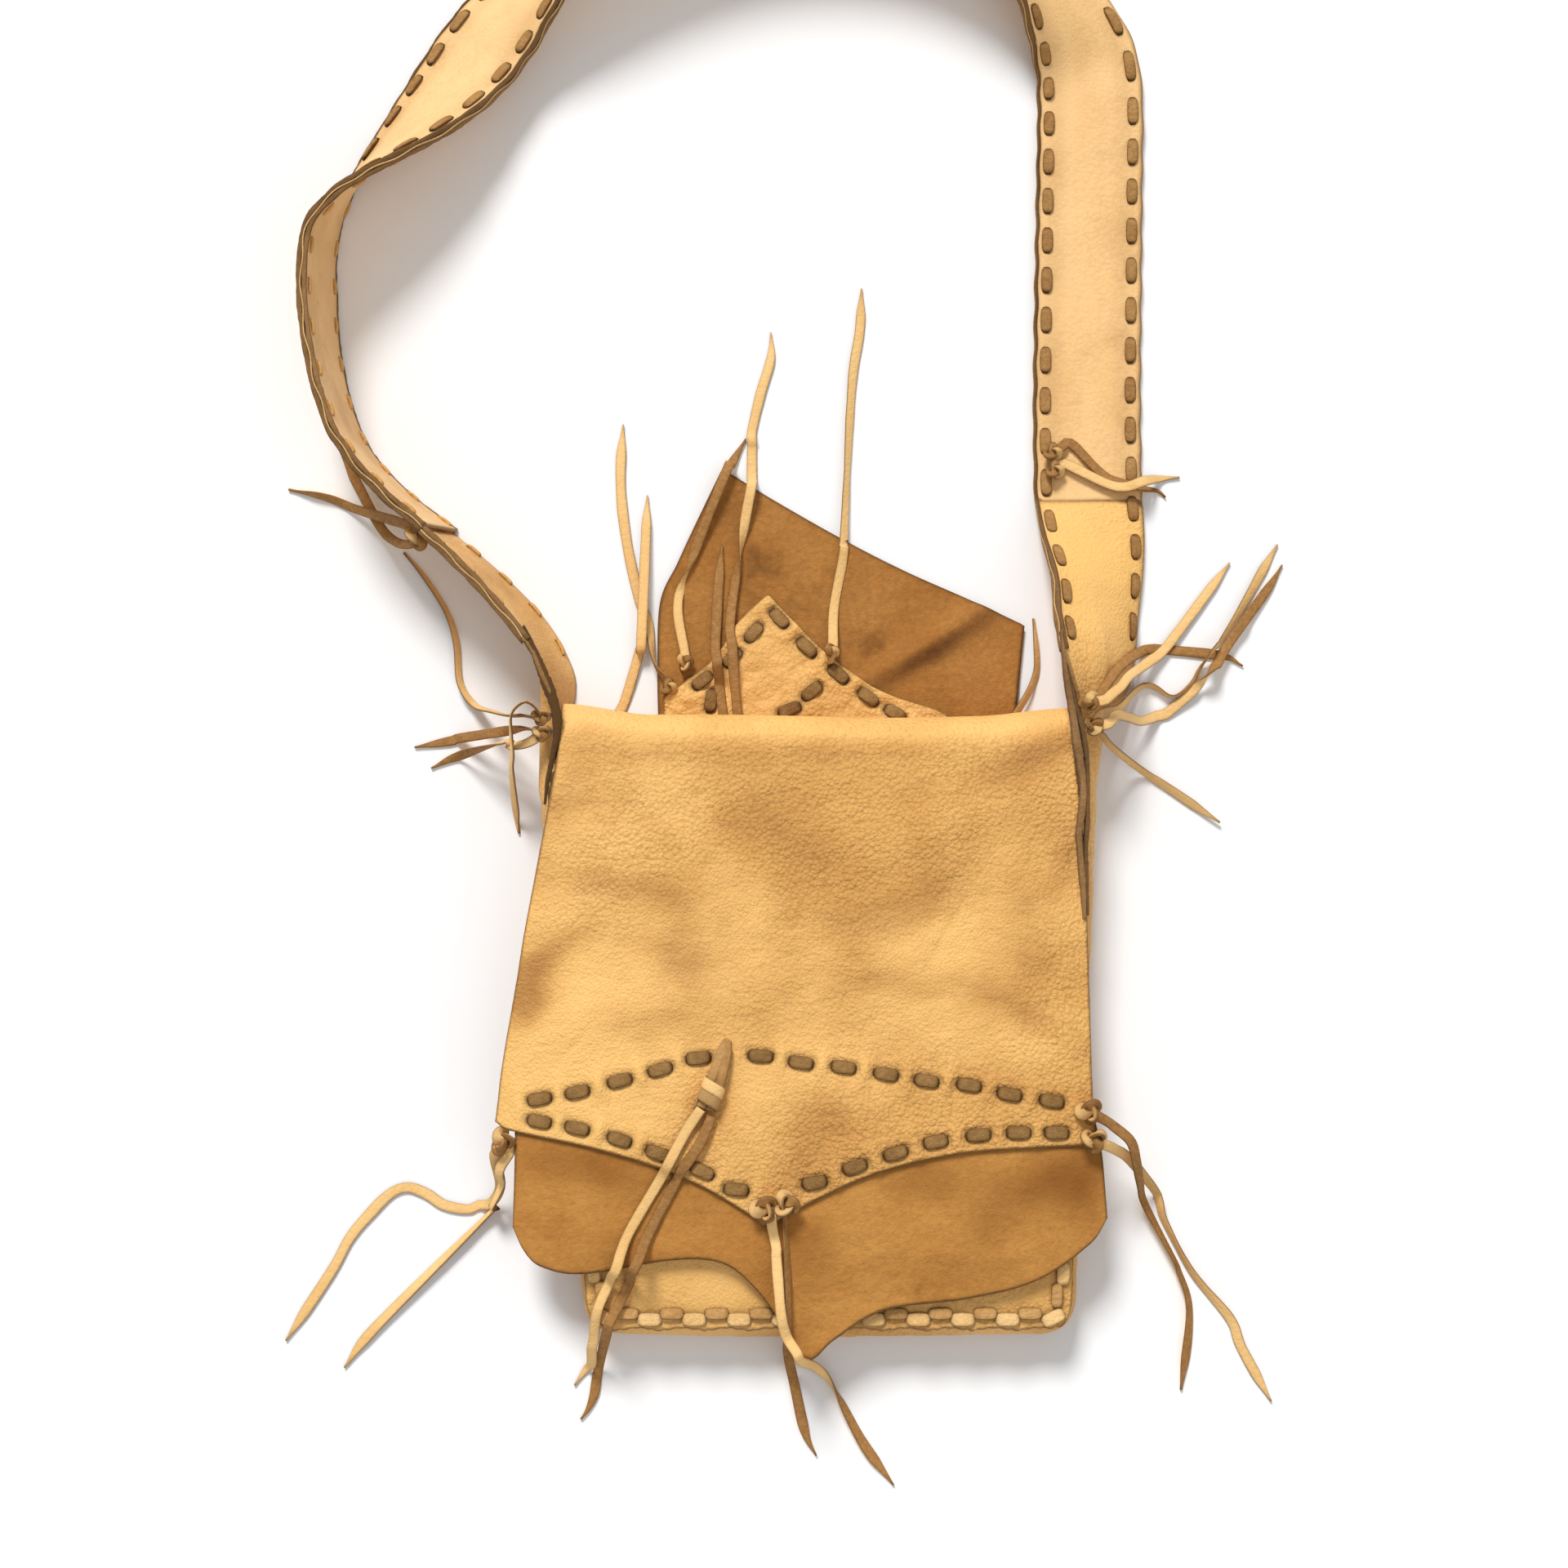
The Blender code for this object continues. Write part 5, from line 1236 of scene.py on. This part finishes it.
def back_panel(skin):
    """The pouch's back: its middle on the ground and its laced margin a lace's height above it,
    up to the fold that the flap makes.
    """
    flat = panel_grid(MOUTH_Y - FLANGE / 4)
    start = flat[:, -1]
    ends = np.linspace(*([x * MM, FOLD_Y] for x in FOLD_ENDS), len(start))
    grow = np.linspace(0, 1, 8)[None, 1:, None]
    flat = np.concatenate([flat, start[:, None] + (ends - start)[:, None] * grow], axis=1)
    x, y = flat[..., 0], flat[..., 1]
    edge = np.minimum(seam_far(x, y)[0], np.abs(FOLD_Y - y))
    raised = BACK_MARGIN_Z * step(SEAM_INSET + 6.2 * MM, SEAM_INSET + 3.2 * MM, edge)
    h = raised + 0.1 * MM * (1 + ripple(x, y, 0.08, 71)) * step(0.01, 0.02, edge)
    parts = turned_over(hide(np.stack([x, y, h + LEATHER], axis=-1), stain=0.2, dent=0.0))
    build("back_panel_leather", "bag", parts, skin, ("back_panel",), "grain")


def seam_lace(name, high, down, light, brown):
    """The seam's double running lace: light and brown stitches in turn, end to end."""
    line, outward = seam_line()
    line = line - outward * SEAM_INSET
    far = reach(line)
    count = int(far[-1] / (STITCH_PITCH / 2))
    parts = ([], [])
    for k in range(count):
        middle = (k + 0.5) * far[-1] / count
        before, here, after = at(middle + np.array([-4, 0, 4]) * MM, far, line)
        along = unit(after - before)
        across = np.array([-along[1], along[0]])
        sway, share = ((1.3, 1.05), (-1.3, 0.9))[k % 2]
        rows = []
        for run, _, up, wide, dim, _ in STITCH[2:-2]:
            spot = here + along * run * STITCH_HALF + across * sway * MM
            rows.append([*spot, high + down * up * MM, wide, dim])
        rows = np.array(rows)
        place = curve(settled(rows[:, :3]), 2)
        beside = np.broadcast_to([*across, 0], place.shape)
        width, dark = curve(rows[:, 3:], 2).T
        # Painted shade where each stitch dives into the leather
        parts[k % 2].append(ribbon(place, beside * down, width * LACE_WIDTH * share, LACE_THICK,
                                   dent=np.clip(dark, 0, 1) * 0.7, back=0))
    for stitches, finish, label in zip(parts, (light, brown), ("_light", "_brown")):
        build(name + label, "bag", joined(stitches), finish, (name,), "lace")


# Strap and gusset
def flat_section():
    """The band's section where it is a flat strap, as places across it and out from it."""
    half, inner = STRAP_WIDTH / 2, STRAP_WIDTH / 2 - BAND_MARGIN
    return np.array([(-half, 0), *((inner * k / 2, 0) for k in range(-2, 3)), (half, 0)])


def channel_section(bulge, flange):
    """The band's section round the pouch: a flange under each panel, then a wall that bulges
    between them.
    """
    height = (FRONT_FLANGE_Z - BACK_FLANGE_Z) / 2
    lower = [(-height, -flange), (-height, -1 * MM), (5 * MM - height, 0.75 * bulge)]
    return np.array([*lower, (0, bulge), *((-a, b) for a, b in reversed(lower))])


def band():
    """The band's frames from the left riser's foot, round the strap's loop, to the right
    riser's foot, a stitch's pitch apart: centres, width directions and outer normals. A tilt
    turns the band about its own line, and its lower edge rests on the ground. Also the numbers
    of the frames where the loop starts and ends.
    """
    per = 6
    line = curve(np.array([*LEFT_RISER, *STRAP_ROUTE[1:], *RIGHT_RISER[1:]]) * (MM, MM, 1), per)
    first = per * (len(LEFT_RISER) - 1)
    last = first + per * (len(STRAP_ROUTE) - 1)
    pieces = []
    for piece in (line[: first + 1], line[first : last + 1], line[last:]):
        far = reach(piece[:, :2])
        pieces.append(at(np.linspace(0, far[-1], round(far[-1] / STITCH_PITCH) + 1), far, piece))
    left, loop, right = pieces
    stations = np.concatenate([left, loop[1:], right[1:]])
    flat, turn = stations[:, :2], np.radians(stations[:, 2:])
    along = unit(np.concatenate([flat[1:], flat[-1:]]) - np.concatenate([flat[:1], flat[:-1]]))
    along = np.column_stack([along, np.zeros(len(flat))])
    side = np.column_stack([along[:, 1], -along[:, 0], np.zeros(len(flat))])
    across = side * np.cos(turn) + UP * np.sin(turn)
    rise = STRAP_WIDTH / 2 * np.abs(np.sin(turn)) + (LEATHER + LAYER_GAP / 2) * np.abs(np.cos(turn))
    frames = np.column_stack([flat, rise + GAP]), across, np.cross(across, along)
    return frames, len(left) - 1, len(left) + len(loop) - 2


def refined(frames, per):
    """A band's frames with per steps between neighbours."""
    centre, across, normal, *others = (curve(v, per) for v in frames)
    return centre, unit(across), unit(normal), *others


def lifted(grid, height):
    """A grid moved out along its own normals."""
    return grid + normals(grid) * np.asarray(height)[..., None]


def band_grid(centre, across, normal, sections, lift):
    """A band as a grid of points: each section's line set out on its frame, then lifted."""
    sections = np.swapaxes(curve(np.swapaxes(sections, 0, 1), 5)[::-1], 0, 1)
    base = centre[:, None] + across[:, None] * sections[..., :1] + normal[:, None] * sections[..., 1:]
    return lifted(base, lift)


def leaned(spots, share):
    """The band's upper edge, where share nears 1, turned over towards the flap at the mouth."""
    x, y = spots[..., 0], spots[..., 1]
    right = 11 * bump_at(0, y, 0, 168, 1, 26) + 1.5 * bump_at(0, y, 0, 130, 1, 12)
    left = -12 * bump_at(0, y, 0, 146, 1, 24)
    moved = spots.copy()
    moved[..., 0] -= np.where(x > 0, right, left) * step(0.2, 1, share) * MM
    return moved


def cut_edges(name, rims, raw, light):
    """The cut edges of two layers of leather, for each rim given as its line, outward
    direction, normal and run: one fuzzy strip along each layer, and between them the light
    glued seam, a sine wave of 23 mm along the edge.
    """
    strips, seams = [], []
    for edge, (rim, out, normal, run) in enumerate(rims):
        for layer in (-1, 1):
            waver = 1 + 0.20 * ripple(run, layer, 0.011, 121 + layer)
            waver = waver + 0.12 * ripple(run, edge, 0.004, 125)
            spot = rim + normal * layer * (LEATHER + LAYER_GAP) * 0.56
            stain = 0.15 + 0.3 * (layer > 0)
            strips.append(ribbon(spot, normal, 2.5 * MM * waver, 1.5 * MM, stain=stain, dent=0.1))
        sway = 0.55 * MM * np.sin(2 * math.pi * run / (23 * MM) + 2 * edge)
        spot = rim + out * 0.5 * MM + normal * sway[:, None]
        seams.append(ribbon(spot, normal, 0.8 * MM, 1.2 * MM, dent=0.25, back=0))
    build(name + "_raw_edges", "bag", joined(strips), raw, (), "grain")
    build(name + "_edge_seams", "bag", joined(seams), light, (), "grain")


def strap(skin, lace, raw, light):
    """The strap's loop of two layers, its cut edges, and the two laces that run along its edges
    and on down the risers.
    """
    frames, first, last = band()
    per = 8
    smooth = refined(frames, per)
    run = reach(smooth[0])
    loop = slice(per * first, per * last + 1)
    centre, across, normal, far = (v[loop] for v in (*smooth, run))
    scallop = 1 + 0.012 * np.cos(2 * math.pi * far / STITCH_PITCH)
    sections = np.broadcast_to(flat_section(), (len(far), 7, 2)).copy()
    sections[:, :, 0] *= scallop[:, None]
    grid = band_grid(centre, across, normal, sections, LAYER_GAP / 2 + LEATHER)
    u, w = np.meshgrid(far, np.linspace(1, -1, grid.shape[1]) * STRAP_WIDTH / 2, indexing="ij")
    seam = hill(np.abs(w) - EDGE_LACE, 3 * MM)
    grid = lifted(grid, 0.25 * MM * ripple(u, w, 0.045, 81) - 0.45 * MM * seam)
    # Darker along the sunken lace lines, and painted shade in their groove
    stain = 0.18 + 0.16 * ripple(u, w * 2, 0.11, 82) + 0.12 * seam
    parts = hide(grid, stain=np.clip(stain, 0, 1), dent=0.10 * seam)
    build("strap_outer_leather", "bag", parts, skin, ("strap_outer",), "grain")
    grid = band_grid(centre, across, normal, sections, -LAYER_GAP / 2)
    stain = 0.35 + 0.3 * ripple(u, w, 0.09, 83)
    parts = turned_over(hide(grid, stain=np.clip(stain, 0, 1), dent=0))
    build("strap_lining_leather", "bag", parts, skin, ("strap_lining",), "grain")

    # The edge that faces right on the right run is tucked under, so no cut edge shows there
    rims = []
    for out in (-across, across):
        shown = (centre[:, 0] < TUCKED_FROM_X) | (out[:, 0] < 0.8)
        rim = centre + out * (scallop * STRAP_WIDTH / 2)[:, None]
        rims.append([v[shown] for v in (rim, out, normal, far)])
    cut_edges("strap", rims, raw, light)

    def place(s, w, h):
        """A place on the band. Past the loop's ends a lace goes down through one layer."""
        layers = np.interp(s, [far[0] - 3 * MM, far[0], far[-1], far[-1] + 3 * MM], [0.56, 1, 1, 0.56])
        height = (h * layers if h < 0 else h) + LAYER_GAP / 2 + LEATHER
        spot, out, facing = (at(s, run, v) for v in smooth)
        return leaned(spot + out * w + facing * height, w / (STRAP_WIDTH / 2))

    through = 2 * LEATHER + LAYER_GAP + 0.5 * MM
    count = int((run[-1] - EDGE_LACE_SPARE) / STITCH_PITCH)
    for label, offset, start in (("low", -EDGE_LACE, 12 * MM), ("high", EDGE_LACE, 18 * MM)):
        ahead = np.array([1.0, 0.0])
        row = [(np.array([start + k * STITCH_PITCH, offset]), ahead) for k in range(count)]
        parts = running_lace(row, place, through, EDGE_LACE_WIDTH, EDGE_STITCH_HALF)
        build("strap_lace_" + label, "bag", parts, lace, (), "lace")


def wall_bulge(place, outward):
    """How far the gusset's wall stands out: most at the mouth, drawn in at the bottom corners."""
    right, left = CORNERS[1:3]
    middle = (left[0] + right[0]) / 2
    along_bottom = 1 - abs(place[0] - middle) / (right[0] - middle)
    up_side = (place[1] - BOTTOM_Y) / (MOUTH_Y - BOTTOM_Y)
    swell = (BOTTOM_BULGE - CORNER_BULGE) * max(0.0, along_bottom) * abs(outward[1])
    facing = max(outward[0], -0.35 * outward[0])
    return CORNER_BULGE + swell + (SIDE_BULGE - CORNER_BULGE) * up_side * facing


def gusset(skin, raw, light):
    """One band round the pouch's sides and bottom, rising as a flat strap at both ends."""
    frames, first, last = band()
    risers = [(*frame_at, flat_section()) for frame_at in zip(*frames)]
    wall = []
    for spot, out in zip(*seam_line(STITCH_PITCH / 2)):
        flange = MOUTH_FLANGE + (FLANGE - MOUTH_FLANGE) * step(MOUTH_Y, MOUTH_Y - 0.012, spot[1])
        section = channel_section(wall_bulge(spot, out), flange) - (0, LEATHER / 2 + LAYER_GAP / 2)
        middle = np.array([*spot, (FRONT_FLANGE_Z + BACK_FLANGE_Z) / 2])
        wall.append((middle, UP, np.array([*out, 0]), section))
    stations = [*risers[last:], *wall, *risers[: first + 1]]
    fine = refined([np.array(v) for v in zip(*stations)], 5)
    grid = band_grid(*fine, LAYER_GAP / 2 + LEATHER)
    run, w = np.meshgrid(reach(fine[0]), np.linspace(1, -1, grid.shape[1]), indexing="ij")
    wave = 0.7 * ripple(run, w * 0.004, 0.045, 91) + 0.3 * ripple(run, w * 0.01, 0.018, 92)
    grid = settled(lifted(grid, (1 - np.abs(w) ** 4) * wave * MM))
    right = grid[..., 0] > 0
    grid = leaned(grid, np.interp(w, [-1, -0.667, 0, 0.667, 1], [-1, -0.44, 0, 0.44, 1]))
    stain = 0.35 + 0.3 * ripple(run, w * 0.02, 0.07, 93)
    stain = stain - 0.8 * right * step(0.14, 0.19, grid[..., 1])
    parts = hide(grid, stain=np.clip(stain, -0.5, 1), dent=0)
    parts[2]["side"][w.size : 2 * w.size] = step(MOUTH_Y, MOUTH_Y + 12 * MM, grid[..., 1]).ravel()
    build("gusset_leather", "bag", parts, skin, ("gusset",), "grain")

    # The risers' upper cut edges show above the flap, the right one and the left one
    facing, rims = normals(grid), []
    x, y = grid[:, 0, 0], grid[:, 0, 1]
    for kept in ((x > 0) & (y > RISER_EDGE_FROM_Y[0]), (x < 0) & (y > RISER_EDGE_FROM_Y[1])):
        rim = grid[kept, 0] - facing[kept, 0] * 0.6 * LEATHER
        rims.append((rim, unit(grid[kept, 0] - grid[kept, 2]), facing[kept, 0], reach(rim)))
    cut_edges("riser", rims, raw, light)


def raw_edges(finish):
    """The cut edges of the band and of the pouch's side, standing side by side: a strip along
    each line, its width wavering with a ripple of 9 mm and one of 3 mm.
    """
    parts = []
    for k, (route, stain, dent) in enumerate(zip(RAW_EDGES, (0.0, 0.6, 0.9), (0.0, 0.2, 0.45))):
        line = curve(np.array(route) * MM, 14)
        far = reach(line[:, :3])
        waver = 1 + 0.14 * ripple(far, 0, 0.009, 101 + k) + 0.08 * ripple(far, 0, 0.003, 111 + k)
        across = np.broadcast_to([1.0, 0.0, -0.2], (len(line), 3))
        width = line[:, 3] * waver
        parts.append(ribbon(line[:, :3], across, width, 3.6 * MM, stain=stain, dent=dent))
        parts[-1][2]["rim"] *= 0.7
    build("band_raw_edges", "bag", joined(parts), finish, (), "grain")


def studio():
    """A pale floor, soft overhead light and the camera at the photograph's angle."""
    bpy.ops.mesh.primitive_plane_add(size=6, location=(0, 0.15, 0))
    floor = bpy.context.object
    floor.name = "floor"
    paper = bpy.data.materials.new("floor_paper")
    paper.use_nodes = True
    paper.node_tree.nodes["Principled BSDF"].inputs["Base Color"].default_value = (0.9, 0.9, 0.9, 1)
    paper.node_tree.nodes["Principled BSDF"].inputs["Roughness"].default_value = 0.9
    floor.data.materials.append(paper)
    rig.stage(floor)
    scene = bpy.context.scene
    world = bpy.data.worlds.new("studio")
    world.use_nodes = True
    world.node_tree.nodes["Background"].inputs["Color"].default_value = (1, 1, 1, 1)
    world.node_tree.nodes["Background"].inputs["Strength"].default_value = 0.42
    scene.world = world
    for name, place, angle, power in SUNS:
        sun = bpy.data.lights.new(name, "SUN")
        sun.angle = math.radians(angle)
        sun.energy = power
        lamp = bpy.data.objects.new(name, sun)
        lamp.location = place
        lamp.rotation_euler = (-Vector(place)).to_track_quat("-Z", "Y").to_euler()
        scene.collection.objects.link(lamp)
    camera = bpy.data.objects.new("camera", bpy.data.cameras.new("camera"))
    camera.location = CAMERA_PLACE
    camera.rotation_euler = (Vector(CAMERA_TARGET) - camera.location).to_track_quat("-Z", "Y").to_euler()
    camera.data.lens = 56
    camera.data.sensor_width = 36
    scene.collection.objects.link(camera)
    scene.camera = camera
    scene.view_settings.view_transform = "Standard"


def main():
    """The studio, then every piece with its material."""
    studio()
    thong = thong_finish("thong")
    for name, (body, sides, route) in TAILS.items():
        tail(name, body, sides, route, thong)
    skin = grain_finish("grain_flap", 0.70, 0.0008)
    pale = grain_finish("grain_pale", 0.45, 0.0006)
    band_skin = grain_finish("grain_strap", 0.25, 0.0002, rgb(246, 202, 140), rgb(224, 174, 110), 0.35)
    front_suede = suede_finish("suede_front", rgb(136, 84, 33), rgb(178, 120, 56), rgb(198, 141, 72))
    rear_suede = suede_finish("suede_rear", rgb(84, 52, 24), rgb(164, 108, 50), rgb(180, 125, 64))
    lace = lace_finish("lace_brown", rgb(182, 138, 84), rgb(140, 98, 54))
    light = lace_finish("lace_light", rgb(244, 204, 142), rgb(216, 168, 104))
    for name, (body, centre, size, turn) in KNOTS.items():
        knot(name, body, centre, size, turn, thong, (name,))
    knot("tip_knot_second", "front_flap_body", (-9, -82.6, 42.4), (10.5, 9.5, 6), 75, thong)
    closure(thong)
    flap_lace = lace_finish("lace_flap", rgb(160, 122, 74), rgb(120, 86, 46))
    front_flap(skin, front_suede, flap_lace)
    rear_flap(pale, rear_suede, flap_lace)
    front_panel(pale)
    back_panel(pale)
    honey_lace = lace_finish("lace_honey", rgb(212, 166, 106), rgb(172, 126, 72))
    seam_lace("front_seam_lace", FRONT_Z + GAP, 1, light, honey_lace)
    seam_lace("back_seam_lace", BACK_MARGIN_Z - GAP, -1, light, honey_lace)
    raw = suede_finish("raw_edges", rgb(84, 58, 32), rgb(138, 102, 62), rgb(166, 126, 82))
    strap(band_skin, lace, raw, light)
    gusset(pale, raw, light)
    raw_edges(raw)


main()
size = {"cad": [list(v) for v in cad_box], "visual": [list(v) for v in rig.bounds()]}
with open("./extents.json", "w") as out:
    json.dump(size, out)
